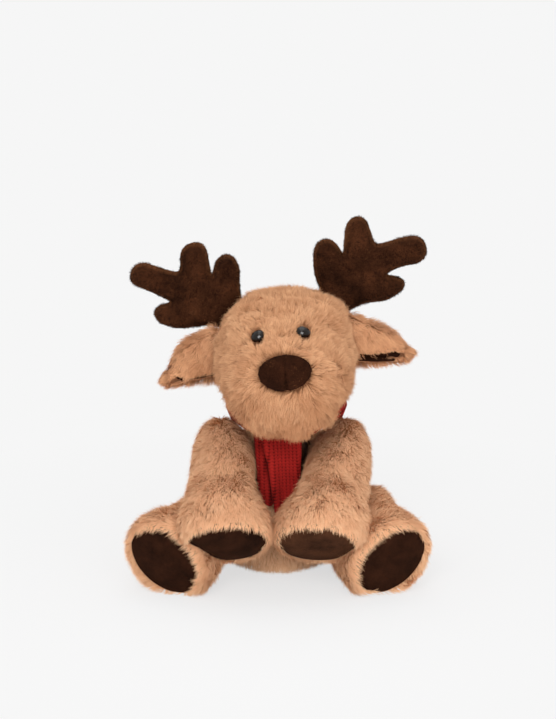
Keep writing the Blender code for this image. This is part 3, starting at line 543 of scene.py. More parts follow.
def off_panel(middle, facing, across, radii):
    """Keeps pile off a panel: drops tufts inside its oval on the side that it faces."""
    x = (across - facing * across.dot(facing)).normalized()
    y = facing.cross(x)
    frame_rows = np.array((x, y, facing))
    origin = np.array(middle)
    facing_row = np.array(facing)

    def keep(at, out):
        local = (at - origin) @ frame_rows.T
        inside = (local[:, 0] / radii[0]) ** 2 + (local[:, 1] / radii[1]) ** 2 < 1.0
        ahead = (out @ facing_row) > 0.25
        return ~(inside & ahead & (np.abs(local[:, 2]) < 14.0 * MILLIMETRE))

    return keep


def velour(name, dark, light, patch=15.0 * MILLIMETRE, rim=None):
    """Short brown velour: the nap lies in patches, darker and redder by turns, and paler at a rim, which is a painted
    sheen.
    """
    finish = Finish(name, roughness=0.95, specular=0.05, sheen=0.05, sheen_tint=(0.5, 0.22, 0.10))
    lay = finish.noise(patch, detail=3.0, roughness=0.6)
    grain = finish.noise(0.5 * MILLIMETRE, detail=1.0)
    mixed = (lay * 0.9 + grain * 0.5 - 0.2).clipped(0.0, 1.0)
    tone = finish.ramp(mixed, ((0.28, dark), (0.72, light)))
    if rim:
        # Painted sheen: the colour turns paler orange-brown towards the seam rim.
        reach = finish.node("ShaderNodeAttribute", output="Fac", attribute_name=rim)
        edge = (1.0 - reach * 0.34).clipped(0.0, 1.0)
        tone = finish.blend(edge * 0.8, tone, (0.150, 0.056, 0.022))
    finish.colour(tone)
    finish.relief(grain, 0.25 * MILLIMETRE, 0.6)
    return finish


def nap_finish(name):
    """The standing fibres of the velour, redder and paler at the high tones: a painted sheen."""
    finish = Finish(name, roughness=0.95, specular=0.05)
    tone = finish.tuft()[0]
    finish.colour(finish.ramp(tone, ((0.25, (0.010, 0.0032, 0.0016)), (0.72, (0.044, 0.0145, 0.0060)),
                                     (1.0, (0.150, 0.058, 0.023)))))
    return finish


NAP = nap_finish("brown velour nap")
VELOUR = velour("brown velour", dark=(0.0078, 0.0027, 0.0013), light=(0.0330, 0.0108, 0.0048))
# A copy of the pad velour painted paler, standing in for the light that the right pad catches.
PAINTED_PALER_VELOUR = velour("brown velour, painted paler", dark=(0.0180, 0.0070, 0.0034), light=(0.0760, 0.0290, 0.0138))


def panel(name, node, body, form, across, radii, lift, sink, seed, shift=Vector()):
    """An oval of velour that follows the stuffed form over its CAD panel, its edge drawn in."""
    middle, facing = panel_place(node)
    middle = middle + shift
    x = (across - facing * across.dot(facing)).normalized()
    y = facing.cross(x)
    bpy.ops.object.select_all(action="DESELECT")
    bpy.ops.mesh.primitive_circle_add(vertices=48, radius=1.0, fill_type="NGON")
    piece = bpy.context.object
    piece.name = name
    bpy.ops.object.mode_set(mode="EDIT")
    bpy.ops.mesh.select_mode(type="FACE")
    bpy.ops.mesh.select_all(action="SELECT")
    for _ in range(7):
        bpy.ops.mesh.inset(thickness=0.12)
    bpy.ops.object.mode_set(mode="OBJECT")
    spots = coords(piece)
    reach = np.minimum(np.linalg.norm(spots[:, :2], axis=1), 1.0)
    flat = spots[:, :2] * np.array(radii)
    dents = drift(np.column_stack((flat, flat[:, 0] * 0.0)), 16.0 * MILLIMETRE, seed)[:, 0]
    tree = tree_of(form)
    for k, (across_by, up_by) in enumerate(flat):
        start = middle + x * float(across_by) + y * float(up_by)
        found = tree.ray_cast(start + facing * 0.03, -facing, 0.05)[0]
        ahead = (found - start).dot(facing) if found else 0.0
        ahead = min(max(ahead, -9.0 * MILLIMETRE), 5.0 * MILLIMETRE)
        dent = dents[k] * 0.35 * MILLIMETRE * (1.0 - reach[k] ** 2)
        ahead += lift * (1.0 - reach[k] ** 3) - sink * reach[k] ** 3 + dent
        spots[k] = start + facing * ahead
    set_coords(piece, spots)
    soften = piece.modifiers.new("soften", "SMOOTH")
    soften.iterations = 3
    wall = piece.modifiers.new("cloth", "SOLIDIFY")
    wall.thickness = 1.6 * MILLIMETRE
    wall.offset = -1.0
    smooth = piece.modifiers.new("smooth", "SUBSURF")
    smooth.levels = 1
    smooth.render_levels = 1
    apply_all(piece)
    piece.data.shade_smooth()
    VELOUR.on(piece)
    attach(piece, body)
    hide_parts(node)
    return piece


sides = {"left": -1.0, "right": 1.0}
hip = {s: Vector((k * 0.044, -0.004, 0.035)) for s, k in sides.items()}
for side, outward in sides.items():
    nodes = ("leg_%s_skin" % side, "leg_%s_stuffing" % side, "sole_" + side)
    form = stuffed_form("leg_%s_form" % side, nodes, rounds=8, swell=1.0 * MILLIMETRE)
    middle, facing = panel_place("sole_" + side)
    fatten(form, middle, facing, 0.045, 3.0 * MILLIMETRE)
    if side == "right":
        mould(form, (((0.080, -0.030, 0.056), (0.020, 0.030, 0.020), (0.003, 0.0, 0.011)),))
    tilt = Vector((outward * 0.788, 0.0, 0.616))
    keep_off = off_panel(middle, facing, tilt, (0.0300, 0.0232))
    run = (middle - hip[side]).normalized() * 0.3 + Vector((outward * 0.75, 0.0, -0.65))
    coat = pile("leg_%s_pile" % side, form, 2.2, 9.0 * MILLIMETRE, brushed(run), 21 if side == "left" else 31,
                keep=lambda at, out, test=keep_off: test(at, out) & (at[:, 2] > 2.4 * MILLIMETRE), wander=0.8,
                lean=0.82, width=0.42, clump=0.42)
    backing = shell_of(form, "leg_%s_backing" % side, PILE_DEPTH)
    LIT_LIMB_BACKING.on(backing)
    LIT_LIMB_FUR.on(coat)
    for piece in (backing, coat):
        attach(piece, "leg_" + side)
    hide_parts("leg_%s_skin" % side, "leg_%s_stuffing" % side)
    panel("foot_%s_sole" % side, "sole_" + side, "leg_" + side, form, tilt, (0.0325, 0.0252), 0.4 * MILLIMETRE,
          3.0 * MILLIMETRE, 3)
    bpy.data.objects.remove(form)

# Arms: stuffed tubes sewn in at the shoulders. Each ends in a wide paw that lies on the foot, with
# a velour pad under its front.
shoulder = {"left": Vector((-0.043, -0.016, 0.094)), "right": Vector((0.051, -0.016, 0.094))}


def raise_top(piece, from_z, amount):
    """Fills a shoulder out upward, where the stuffing packs against the neck."""
    spots = coords(piece)
    share = np.clip((spots[:, 2] - from_z) / (spots[:, 2].max() - from_z), 0.0, 1.0)
    share = share * np.clip((np.abs(spots[:, 0] - 0.004) - 0.032) / 0.014, 0.0, 1.0)
    spots[:, 2] += amount * share
    set_coords(piece, spots)


for side, outward in sides.items():
    nodes = ("arm_%s_skin" % side, "arm_%s_stuffing" % side, "paw_pad_" + side)
    form = stuffed_form("arm_%s_form" % side, nodes, rounds=8, swell=2.0 * MILLIMETRE)
    middle, facing = panel_place("paw_pad_" + side)
    fatten(form, middle, facing, 0.040, 3.0 * MILLIMETRE)
    raise_top(form, 0.085, 4.5 * MILLIMETRE)
    roll = 1.0 if side == "left" else 0.55
    mould(form, (
        ((outward * 0.044, -0.092, 0.081), (0.034, 0.016, 0.010), (0.0, -0.0045 * roll, 0.0035 * roll)),
        ((outward * 0.044, -0.081, 0.094), (0.030, 0.014, 0.007), (0.0, 0.0035 * roll, -0.0020 * roll)),
        ((outward * 0.012, -0.070, 0.079), (0.014, 0.030, 0.015), (outward * 0.0035, 0.0, 0.0)),
    ))
    rise = facing.cross(Vector((1.0, 0.0, 0.0)))
    keep_off = off_panel(middle + rise * 4.5 * MILLIMETRE, facing, Vector((1.0, 0.0, 0.0)), (0.0308, 0.0238))
    run = (middle - shoulder[side]).normalized() * 0.35 + Vector((outward * 0.12, 0.0, -1.0))
    coat = pile("arm_%s_pile" % side, form, 2.7, 8.5 * MILLIMETRE, brushed(run), 41 if side == "left" else 51,
                keep=keep_off, wander=0.7, lean=0.88, width=0.43, clump=0.40)
    backing = shell_of(form, "arm_%s_backing" % side, PILE_DEPTH)
    LIT_LIMB_BACKING.on(backing)
    LIT_LIMB_FUR.on(coat)
    for piece in (backing, coat):
        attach(piece, "arm_" + side)
    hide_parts("arm_%s_skin" % side, "arm_%s_stuffing" % side)
    pad = panel("paw_%s_velour" % side, "paw_pad_" + side, "arm_" + side, form, Vector((1.0, 0.0, 0.0)),
                (0.0335, 0.0262), 0.4 * MILLIMETRE, 3.0 * MILLIMETRE, 4, rise * 1.5 * MILLIMETRE)
    # The right pad gets the velour painted paler.
    if side == "right":
        PAINTED_PALER_VELOUR.on(pad)
    bpy.data.objects.remove(form)

# Head: a large stuffed ball of pile with a broad muzzle. The pile radiates from the nose, lies
# short over the forehead and hangs longer under the nose.
HEAD_MIDDLE = Vector((0.005, -0.035, 0.176))
HEAD_ROLL = math.radians(5.5)
head_turn = Matrix.Rotation(-HEAD_ROLL, 4, "Y")
head_place = Matrix.Translation(HEAD_MIDDLE) @ head_turn
nose_tip = np.array(head_place @ Vector((0.0, -0.078, 0.002)))
eye_spots = [np.array(head_place @ Vector((x, -0.052, 0.0238))) for x in (-0.0185, 0.0165)]

head = stuffed_form("head_form", ("head_skin", "head_stuffing"), rounds=10)


def sag(piece):
    """Lets the chin and cheeks hang a little lower than the bare form."""
    spots = coords(piece)
    low = np.clip((0.160 - spots[:, 2]) / 0.03, 0.0, 1.0) * np.clip((0.0 - spots[:, 1]) / 0.05, 0.0, 1.0)
    spots[:, 2] -= 4.0 * MILLIMETRE * low
    set_coords(piece, spots)


sag(head)
mould(head, (
    ((0.047, -0.030, 0.214), (0.022, 0.045, 0.020), (0.0050, 0.0, 0.0035)),
    ((-0.028, -0.030, 0.222), (0.014, 0.045, 0.016), (-0.0010, 0.0, 0.0040)),
    ((0.008, -0.030, 0.232), (0.022, 0.045, 0.012), (0.0, 0.0, -0.0025)),
    ((-0.045, -0.060, 0.132), (0.016, 0.050, 0.016), (0.0065, 0.0, 0.002)),
))


def from_nose(at, out):
    """Pile that radiates from the nose and hangs more as it goes down."""
    away = unit(at - nose_tip)
    fall = np.clip((nose_tip[2] - at[:, 2]) / 0.03, 0.0, 1.0)[:, None]
    return away + np.array([0.0, 0.0, -1.0]) * (0.2 + 0.9 * fall)


def face_keep(at, out):
    kept = np.ones(len(at), dtype=bool)
    for spot in eye_spots:
        near = np.linalg.norm((at - spot)[:, (0, 2)] + np.array([0.0, 0.0012]), axis=1)
        kept &= ~((near < 5.8 * MILLIMETRE) & (at[:, 1] < -0.05))
    local = (at - nose_tip)[:, (0, 2)] + np.array([0.0, 0.0030])
    kept &= ~(((local[:, 0] / 0.0190) ** 2 + (local[:, 1] / 0.0140) ** 2 < 1.0) & (at[:, 1] < -0.07))
    return kept


def beard(at, out):
    """Longer pile under the nose, shorter on the brow and round the eyes."""
    low = np.clip((0.172 - at[:, 2]) / 0.03, 0.0, 1.0)
    brow = np.clip((at[:, 2] - 0.185) / 0.02, 0.0, 1.0) * np.clip((-0.02 - at[:, 1]) / 0.03, 0.0, 1.0)
    return 1.05 + 0.50 * low - 0.20 * brow


def chin_painted_shade(at, out):
    """Painted shade: the face's pile is darker towards the chin and a little on the cheeks."""
    low = np.clip((0.180 - at[:, 2]) / 0.045, 0.0, 1.0)
    aside = np.clip((np.abs(at[:, 0] - 0.005) - 0.028) / 0.03, 0.0, 1.0)
    return -0.55 * low - 0.10 * aside


def down_the_back(at, out):
    """Behind the ears the pile turns to hang straight down."""
    share = np.clip((at[:, 1] - HEAD_MIDDLE.y) / 0.03, 0.0, 1.0)[:, None]
    return unit(from_nose(at, out)) * (1.0 - share) + np.array([0.0, 0.0, -1.0]) * share


head_front = pile("head_front_pile", head, 2.9, 9.0 * MILLIMETRE, from_nose, 61, longer=beard, tone_at=chin_painted_shade,
                  clump=0.74, lean=0.70, tuft=2.9 * MILLIMETRE, width=0.40, wander=1.6,
                  keep=lambda at, out: face_keep(at, out) & (at[:, 1] <= -0.035))
head_rear = pile("head_rear_pile", head, 2.2, 9.5 * MILLIMETRE, down_the_back, 71, longer=beard, tone_at=chin_painted_shade,
                 clump=0.65, tuft=2.8 * MILLIMETRE, keep=lambda at, out: at[:, 1] > -0.035)
head_backing = shell_of(head, "head_backing", PILE_DEPTH)
BACKING.on(head_backing)
SHADED_HEAD_FUR.on(head_front, head_rear)
for piece in (head_backing, head_front, head_rear):
    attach(piece, "head")
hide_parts("head_skin", "head_stuffing", "eye_washer_left", "eye_washer_right")
bpy.data.objects.remove(head)

# Neck: a slack sewn neck of the same pile that shows only from behind, above the scarf.
neck = stuffed_form("neck_backing", ("neck_stuffing",), rounds=4, swell=2.0 * MILLIMETRE)
neck_pile = pile("neck_pile", neck, 2.2, 10.0 * MILLIMETRE, hangs, 81, depth=1.0 * MILLIMETRE, lean=0.35, width=0.42)
BACKING.on(neck)
FUR.on(neck_pile)
for piece in (neck, neck_pile):
    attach(piece, "neck")
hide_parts("neck_stuffing")

# Nose: an oval of velour gathered over a little stuffing and sewn to the muzzle, with a faint
# seam down its middle.
nose = stuffed_form("nose_velour", ("nose",), rounds=3, voxel=0.9 * MILLIMETRE)
spots = (coords(nose) - nose_tip) @ np.array(head_turn.to_3x3())
spots[:, 0] *= 1.10
spots[:, 2] = spots[:, 2] * np.where(spots[:, 2] > 0.0, 0.90, 1.06) - 2.1 * MILLIMETRE
seam = np.exp(-((spots[:, 0] / (0.9 * MILLIMETRE)) ** 2)) * np.clip(0.75 - spots[:, 2] / 0.030, 0.3, 1.4)
pit = np.exp(-((spots[:, 0] / 0.0030) ** 2) - (((spots[:, 2] + 0.0130) / 0.0035) ** 2))
spots[:, 1] += 2.1 * MILLIMETRE * seam + 1.3 * MILLIMETRE * pit - 0.8 * MILLIMETRE
spots = spots @ np.array(head_turn.to_3x3()).T + nose_tip
set_coords(nose, spots)
nose_finish = velour("nose velour", dark=(0.015, 0.0048, 0.0022), light=(0.036, 0.0112, 0.0048))
nose_finish.on(nose)
nose_nap = pile("nose_nap", nose, 2.6, 1.5 * MILLIMETRE, hangs, 17, lean=0.8, width=0.22, clump=0.4,
                tuft=1.2 * MILLIMETRE, depth=0.3 * MILLIMETRE, wander=1.5,
                keep=lambda at, out: (at[:, 1] < -0.085), tone_at=lambda at, out: np.full(len(at), -0.06))
NAP.on(nose_nap)
for piece in (nose, nose_nap):
    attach(piece, "head")
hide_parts("nose")

# Eyes: domes of dark brown gloss plastic on a stem, held by a washer behind the fabric.
EYE_RADIUS = 5.4 * MILLIMETRE
for side in sides:
    finish = Finish("eye gloss " + side, roughness=0.05, specular=0.34)
    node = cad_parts["eye_" + side]
    middle = sum((v.co for v in node.data.vertices), Vector()) / len(node.data.vertices)
    spot = finish.node("ShaderNodeVectorMath", {0: finish.place(), 1: tuple(middle)}, operation="DISTANCE", output=1)
    ring = (spot * (1.0 / EYE_RADIUS)).clipped(0.0, 1.0)
    finish.colour(finish.ramp(ring, ((0.45, (0.0015, 0.0015, 0.0016)), (0.8, (0.0070, 0.0042, 0.0026)))))
    node.data.materials.clear()
    node.data.materials.append(finish.material)

# Antlers: two layers of velour sewn round one outline with four tines, turned and filled. A
# painted sheen makes a paler edge along the seam, in the velour and in its nap.
ANTLER_LEAN = {"left": 3.0, "right": -3.0}
ANTLER_ROOT = Vector((0.042, 0.030, 0.031))
ANTLER_PADDING = 8.6 * MILLIMETRE
ANTLER_SHOULDER = 9.5 * MILLIMETRE
ANTLER_GRID = 1.3 * MILLIMETRE
# Each outline in millimetres from the middle of the head: inner tine, notch, middle tine, corner,
# outer tine, notch, low tine, and the root that is sewn into the head. They were cut by one
# pattern, but the left one is stuffed slacker.
ANTLER_OUTLINES = {
    "right": (
        (31.9, 41.3), (30.0, 50.9), (30.0, 61.7), (31.6, 70.7), (34.7, 76.4), (39.7, 79.0), (45.0, 78.5), (50.0, 74.1),
        (53.6, 66.6), (56.0, 74.7), (58.6, 85.1), (62.6, 90.9), (69.3, 92.8), (75.2, 88.9), (77.6, 80.0), (79.9, 70.6),
        (87.9, 69.8), (100.2, 71.6), (110.8, 71.4), (116.8, 67.3), (118.7, 59.4), (115.8, 53.2), (109.3, 49.9),
        (97.2, 48.9), (86.1, 45.2), (93.0, 41.8), (97.4, 38.5), (98.0, 34.2), (93.8, 29.4), (81.7, 24.5),
        (66.5, 24.6), (55.9, 22.0), (47.0, 18.5), (36.0, 24.0), (29.0, 32.0),
    ),
    "left": (
        (29.6, 39.8), (29.0, 50.6), (27.6, 59.7), (28.4, 66.4), (31.5, 72.2), (37.2, 74.4), (44.3, 70.6), (49.4, 61.0),
        (50.0, 69.3), (50.3, 78.5), (52.8, 84.3), (58.6, 87.2), (66.0, 85.6), (70.9, 80.0), (74.2, 67.4),
        (82.1, 68.6), (92.7, 73.8), (101.3, 77.4), (109.2, 74.7), (112.8, 67.7), (110.4, 61.2), (100.4, 54.9),
        (85.6, 44.4), (93.0, 42.5), (97.7, 39.3), (98.9, 35.4), (96.2, 29.2), (88.5, 24.4), (79.7, 21.8),
        (62.8, 21.2), (54.0, 19.6), (46.0, 17.5), (36.0, 23.0), (28.0, 31.0),
    ),
}


def rounded(points, steps=5):
    """A closed smooth line through the points."""
    line = []
    for k, start in enumerate(points):
        before, end, after = points[k - 1], points[(k + 1) % len(points)], points[(k + 2) % len(points)]
        for i in range(steps):
            t = i / steps
            line.append([
                0.5 * (2.0 * q + (r - p) * t + (2.0 * p - 5.0 * q + 4.0 * r - w) * t**2
                       + (3.0 * q - p - 3.0 * r + w) * t**3)
                for p, q, r, w in zip(before, start, end, after)
            ])
    return np.array(line)


def edge_distance(points, line):
    """How far each point lies from a closed line."""
    nearest = np.full(len(points), 1.0e9)
    for a, b in zip(line, np.roll(line, -1, axis=0)):
        step = b - a
        share = np.clip(((points - a) @ step) / (step @ step), 0.0, 1.0)
        nearest = np.minimum(nearest, np.linalg.norm(points - a - share[:, None] * step, axis=1))
    return nearest


def antler_shape(name, outward, seed):
    """Both layers of an antler, joined at the seam, in the plane of the head's frame."""
    outline = ANTLER_OUTLINES["left" if outward < 0.0 else "right"]
    line = rounded([(x * MILLIMETRE, z * MILLIMETRE) for x, z in outline])
    low, high = line.min(axis=0), line.max(axis=0)
    rng = np.random.default_rng(seed)
    across, up = np.meshgrid(np.arange(low[0], high[0], ANTLER_GRID), np.arange(low[1], high[1], ANTLER_GRID))
    inner = np.column_stack((across.ravel(), up.ravel())) + rng.uniform(-0.3, 0.3, (across.size, 2)) * ANTLER_GRID
    inner = inner[edge_distance(inner, line) > 0.6 * ANTLER_GRID]
    count = len(line)
    flat = [Vector(q) for q in line] + [Vector(q) for q in inner]
    rim = [(k, (k + 1) % count) for k in range(count)]
    made = delaunay_2d_cdt(flat, rim, [list(range(count))], 1, 1.0e-7)
    spots = np.array([(v.x, v.y) for v in made[0]])
    reach = edge_distance(spots, line)
    share = np.clip(reach / ANTLER_SHOULDER, 0.0, 1.0)
    puffed = ANTLER_PADDING * (1.0 - (1.0 - share) ** 2.2) ** 0.62
    at_rim = reach < 1.0e-6
    place = head_place @ Matrix.Translation((outward * ANTLER_ROOT.x, ANTLER_ROOT.y, ANTLER_ROOT.z))
    place = place @ Matrix.Rotation(outward * math.radians(ANTLER_LEAN["left" if outward < 0.0 else "right"]), 4, "Y")
    place = place @ Matrix.Translation((-outward * ANTLER_ROOT.x, -ANTLER_ROOT.y, -ANTLER_ROOT.z))
    bm = bmesh.new()
    depth = bm.verts.layers.float.new("reach")
    layers = []
    for k, side in enumerate((-1.0, 1.0)):
        spread = np.column_stack((spots[:, 0], np.full(len(spots), side * 0.01), spots[:, 1]))
        dents = drift(spread, 17.0 * MILLIMETRE, seed + 3 + k)[:, 0] * 1.0 * MILLIMETRE
        dents += drift(spread, 6.0 * MILLIMETRE, seed + 7 + k)[:, 1] * 0.30 * MILLIMETRE
        dents *= np.sin(math.pi * np.clip(share, 0.0, 0.75))
        verts = []
        for i, (x, z) in enumerate(spots):
            if k and at_rim[i]:
                verts.append(layers[0][i])
                continue
            y = ANTLER_ROOT.y + side * (puffed[i] + dents[i])
            vert = bm.verts.new(place @ Vector((outward * x, y, z)))
            vert[depth] = reach[i] / MILLIMETRE
            verts.append(vert)
        layers.append(verts)
        for face in made[2]:
            corners = [verts[i] for i in face]
            bm.faces.new(corners if side * outward > 0.0 else corners[::-1])
    bmesh.ops.recalc_face_normals(bm, faces=bm.faces)
    mesh = bpy.data.meshes.new(name)
    bm.to_mesh(mesh)
    bm.free()
    mesh.shade_smooth()
    return placed(name, mesh)


antler_finish = velour("antler velour", dark=(0.0085, 0.0026, 0.0012), light=(0.0720, 0.0240, 0.0095),
                       patch=19.0 * MILLIMETRE, rim="reach")
for side, outward in sides.items():
    antler = antler_shape("antler_%s_velour" % side, outward, 5 if side == "left" else 6)
    antler_finish.on(antler)
    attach(antler, "antler_" + side)
    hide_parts("antler_%s_cover" % side, "antler_%s_stuffing" % side)

    # Painted sheen: the nap's tone is raised near the seam.
    def seam_painted_sheen(at, out):
        return 0.55 * np.exp(-((at[:, 1] - HEAD_MIDDLE.y - ANTLER_ROOT.y) / (2.6 * MILLIMETRE)) ** 2) - 0.15

    nap = pile("antler_%s_nap" % side, antler, 1.7, 2.0 * MILLIMETRE, hangs, 15 if side == "left" else 16, lean=0.55,
               width=0.24, clump=0.45, tuft=1.6 * MILLIMETRE, tone_at=seam_painted_sheen, depth=0.3 * MILLIMETRE, wander=2.5)
    NAP.on(nap)
    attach(nap, "antler_" + side)

# Ears: rolled leaves of the pile, lined with velour and sewn to the sides of the head.
for side, outward in sides.items():
    form = stuffed_form("ear_%s_backing" % side, ("ear_%s_back" % side,), rounds=2, voxel=1.2 * MILLIMETRE)
    low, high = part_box("ear_%s_back" % side)
    width = high[0] - low[0]
    inner, outer = (low[0], high[0]) if outward > 0.0 else (high[0], low[0])
    middle_y, middle_z = 0.5 * (low[1] + high[1]), 0.5 * (low[2] + high[2])
    tip_z = low[2] + 0.25 * (high[2] - low[2])
    drawn = (
        ((inner, middle_y, middle_z), (0.34 * width, 0.05, 0.05), (-outward * 0.0075, 0.0, 0.0)),
        ((outer, middle_y, tip_z), (0.16 * width, 0.05, 0.006), (outward * 0.0025, 0.0, 0.0)),
    )
    lower = 0.0040 if side == "right" else 0.0025
    droop = 0.0010 if side == "right" else 0.0050
    drawn += (
        ((outer - outward * 0.55 * width, middle_y, high[2]), (0.30 * width, 0.05, 0.012), (0.0, 0.0, -lower)),
        ((outer, middle_y, tip_z), (0.24 * width, 0.05, 0.020), (-outward * 0.5 * droop, 0.0, -droop)),
    )
    mould(form, drawn)
    # The mouth of the roll opens towards the front, wider on the right ear.
    if side == "right":
        mouth = ((outer - 0.24 * width, low[1], low[2] + 0.004), (0.34 * width, 0.010, 0.006), (0.0, 0.0, 0.0080))
    else:
        mouth = ((outer + 0.20 * width, low[1], low[2] + 0.003), (0.14 * width, 0.008, 0.006), (0.0, 0.0, 0.0055))
    mould(form, (mouth,))
    root = Vector((inner, middle_y, high[2]))
    tip = Vector((outer, middle_y, low[2]))
    lining_tree = KDTree(len(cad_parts["ear_%s_lining" % side].data.vertices))
    for k, vert in enumerate(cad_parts["ear_%s_lining" % side].data.vertices):
        lining_tree.insert(vert.co, k)
    lining_tree.balance()

    def outer_face(at, out, tree=lining_tree):
        near = np.array([tree.find(p + o * 2.0 * MILLIMETRE)[2] for p, o in zip(at, out)])
        far = np.array([tree.find(p - o * 2.0 * MILLIMETRE)[2] for p, o in zip(at, out)])
        return near > far

    def by_edge(at, out, outward=outward, inner=inner, width=width, middle_z=middle_z):
        share = np.clip((at[:, 0] - inner) * outward / width, 0.0, 1.0)
        low_front = (at[:, 2] < middle_z - 0.004) & (out[:, 1] < 0.2)
        bare = low_front & (share > (0.10 if outward > 0.0 else 0.62)) & (share < 0.88)
        return np.where(bare, 0.28, 1.0 + 0.25 * np.clip(1.0 - share / 0.3, 0.0, 1.0))

    coat = pile("ear_%s_pile" % side, form, 3.9, 8.5 * MILLIMETRE, away_from(root, tip), 91 if side == "left" else 95,
                keep=outer_face, depth=0.5 * MILLIMETRE, lean=0.85, width=0.36, longer=by_edge, clump=0.6)
    lining = stuffed_form("ear_%s_velour" % side, ("ear_%s_lining" % side,), rounds=1, voxel=0.6 * MILLIMETRE)
    mould(lining, drawn)
    stretch, sink = (0.0060, 0.0) if side == "right" else (0.0030, -0.0015)
    mould(lining, (((outer - outward * 0.12 * width, middle_y, tip_z), (0.24 * width, 0.05, 0.03),
                    (outward * stretch, 0.0, sink)),))
    BACKING.on(form)
    FUR.on(coat)
    VELOUR.on(lining)
    for piece, node in ((form, "back"), (coat, "back"), (lining, "lining")):
        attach(piece, "ear_" + side)
        "ear_%s_%s" % (side, node)
    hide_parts("ear_%s_back" % side)
    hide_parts("ear_%s_lining" % side)

# Tail: a short stub of the same pile.
tail = stuffed_form("tail_backing", ("tail",), rounds=2, voxel=1.5 * MILLIMETRE)
tail_pile = pile("tail_pile", tail, 5.0, 9.0 * MILLIMETRE, hangs, 99, depth=0.5 * MILLIMETRE, width=0.42, lean=0.9)
BACKING.on(tail)
LIT_LIMB_FUR.on(tail_pile)
for piece in (tail, tail_pile):
    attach(piece, "tail")
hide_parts("tail")

# Scarf: red stockinette with a wale of 3 mm, wound once round the neck under the head, with its two
# ends laid flat on the chest, one over the other. The stitches stand up as real relief.
WALE = 3.0 * MILLIMETRE
COURSE = 2.4 * MILLIMETRE
STITCH = 0.42 * MILLIMETRE
KNIT_GRID = 0.36 * MILLIMETRE


def stitches(across, along):
    """Height of plain knit, from 0 to 1: columns of slanted legs with an eye in each stitch."""
    wale = across / WALE
    aside = wale - np.floor(wale) - 0.5
    course = along / COURSE
    step = course - np.floor(course) - 0.5
    legs = 0.5 + 0.5 * np.cos(2.0 * math.pi * (course - 0.5 + np.abs(aside) * 2.0))
    eye = np.exp(-((aside / 0.23) ** 2) - (step / 0.30) ** 2)
    return np.clip(0.80 + 0.25 * legs - 1.15 * eye, 0.0, 1.0)


def knit_finish(name):
    finish = Finish(name, roughness=0.95, specular=0.1, sheen=0.1, sheen_tint=(1.0, 0.25, 0.2))
    height = finish.node("ShaderNodeAttribute", output="Fac", attribute_name="stitch")
    fuzz = finish.noise(0.7 * MILLIMETRE, detail=2.0)
    patch = finish.noise(11.0 * MILLIMETRE, detail=1.0)
    # The yarn's colour darkens where the stitch height is low: painted shade in the gaps between the stitches, over
    # the yarn's random tone.
    mixed = height * 0.75 + fuzz * 0.35 + patch * 0.25 - 0.2
    finish.colour(finish.ramp(mixed, ((0.05, (0.012, 0.0004, 0.0004)), (0.42, (0.095, 0.0030, 0.0026)),
                                      (0.90, (0.400, 0.0190, 0.0155)))))
    finish.relief(fuzz, 0.3 * MILLIMETRE, 0.5)
    return finish


KNIT = knit_finish("red knit")


def knitted(name, spots, ups, height, closed_across, closed_along, thickness):
    """A knitted sheet over a grid of places, raised along the given directions by its stitches."""
    rows, columns = spots.shape[:2]
    verts = (spots + ups * (height * STITCH)[..., None]).reshape(-1, 3)
    row = np.arange(rows if closed_along else rows - 1)[:, None]
    column = np.arange(columns if closed_across else columns - 1)[None, :]
    next_row, next_column = (row + 1) % rows, (column + 1) % columns
    faces = np.stack(
        np.broadcast_arrays(row * columns + column, row * columns + next_column, next_row * columns + next_column,
                            next_row * columns + column), axis=-1).reshape(-1, 4)
    mesh = bpy.data.meshes.new(name)
    mesh.from_pydata(verts.tolist(), [], faces.tolist())
    layer = mesh.attributes.new("stitch", "FLOAT", "POINT")
    layer.data.foreach_set("value", height.reshape(-1).astype(np.float32))
    piece = placed(name, mesh)
    if thickness:
        wall = piece.modifiers.new("cloth", "SOLIDIFY")
        wall.thickness = thickness
        wall.offset = -1.0
        apply_all(piece)
    bm = bmesh.new()
    bm.from_mesh(piece.data)
    bmesh.ops.recalc_face_normals(bm, faces=bm.faces)
    bm.to_mesh(piece.data)
    bm.free()
    piece.data.shade_smooth()
    return piece


def front_of(node):
    """A function that gives how far forward a CAD node reaches at a place seen from the front."""
    tree = tree_of(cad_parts[node])

    def at(x, z):
        place = tree.ray_cast(Vector((x, -0.3, z)), Vector((0.0, 1.0, 0.0)))[0]
        return None if place is None else place.y

    return at


def filled(rows):
    """Fills the gaps of a table of depths with the nearest value in the row, then evens it out."""
    table = np.array([[np.nan if y is None else y for y in row] for row in rows])
    for row in table:
        known = np.flatnonzero(~np.isnan(row))
        if len(known):
            row[:] = np.interp(np.arange(len(row)), known, row[known])
    known = np.flatnonzero(~np.isnan(table[:, 0]))
    for k in range(table.shape[1]):
        table[:, k] = np.interp(np.arange(len(table)), known, table[known, k])
    for _ in range(3):
        padded = np.pad(table, 1, mode="edge")
        table = (padded[:-2, 1:-1] + padded[2:, 1:-1] + padded[1:-1, :-2] + padded[1:-1, 2:] + table) / 5.0
    return table


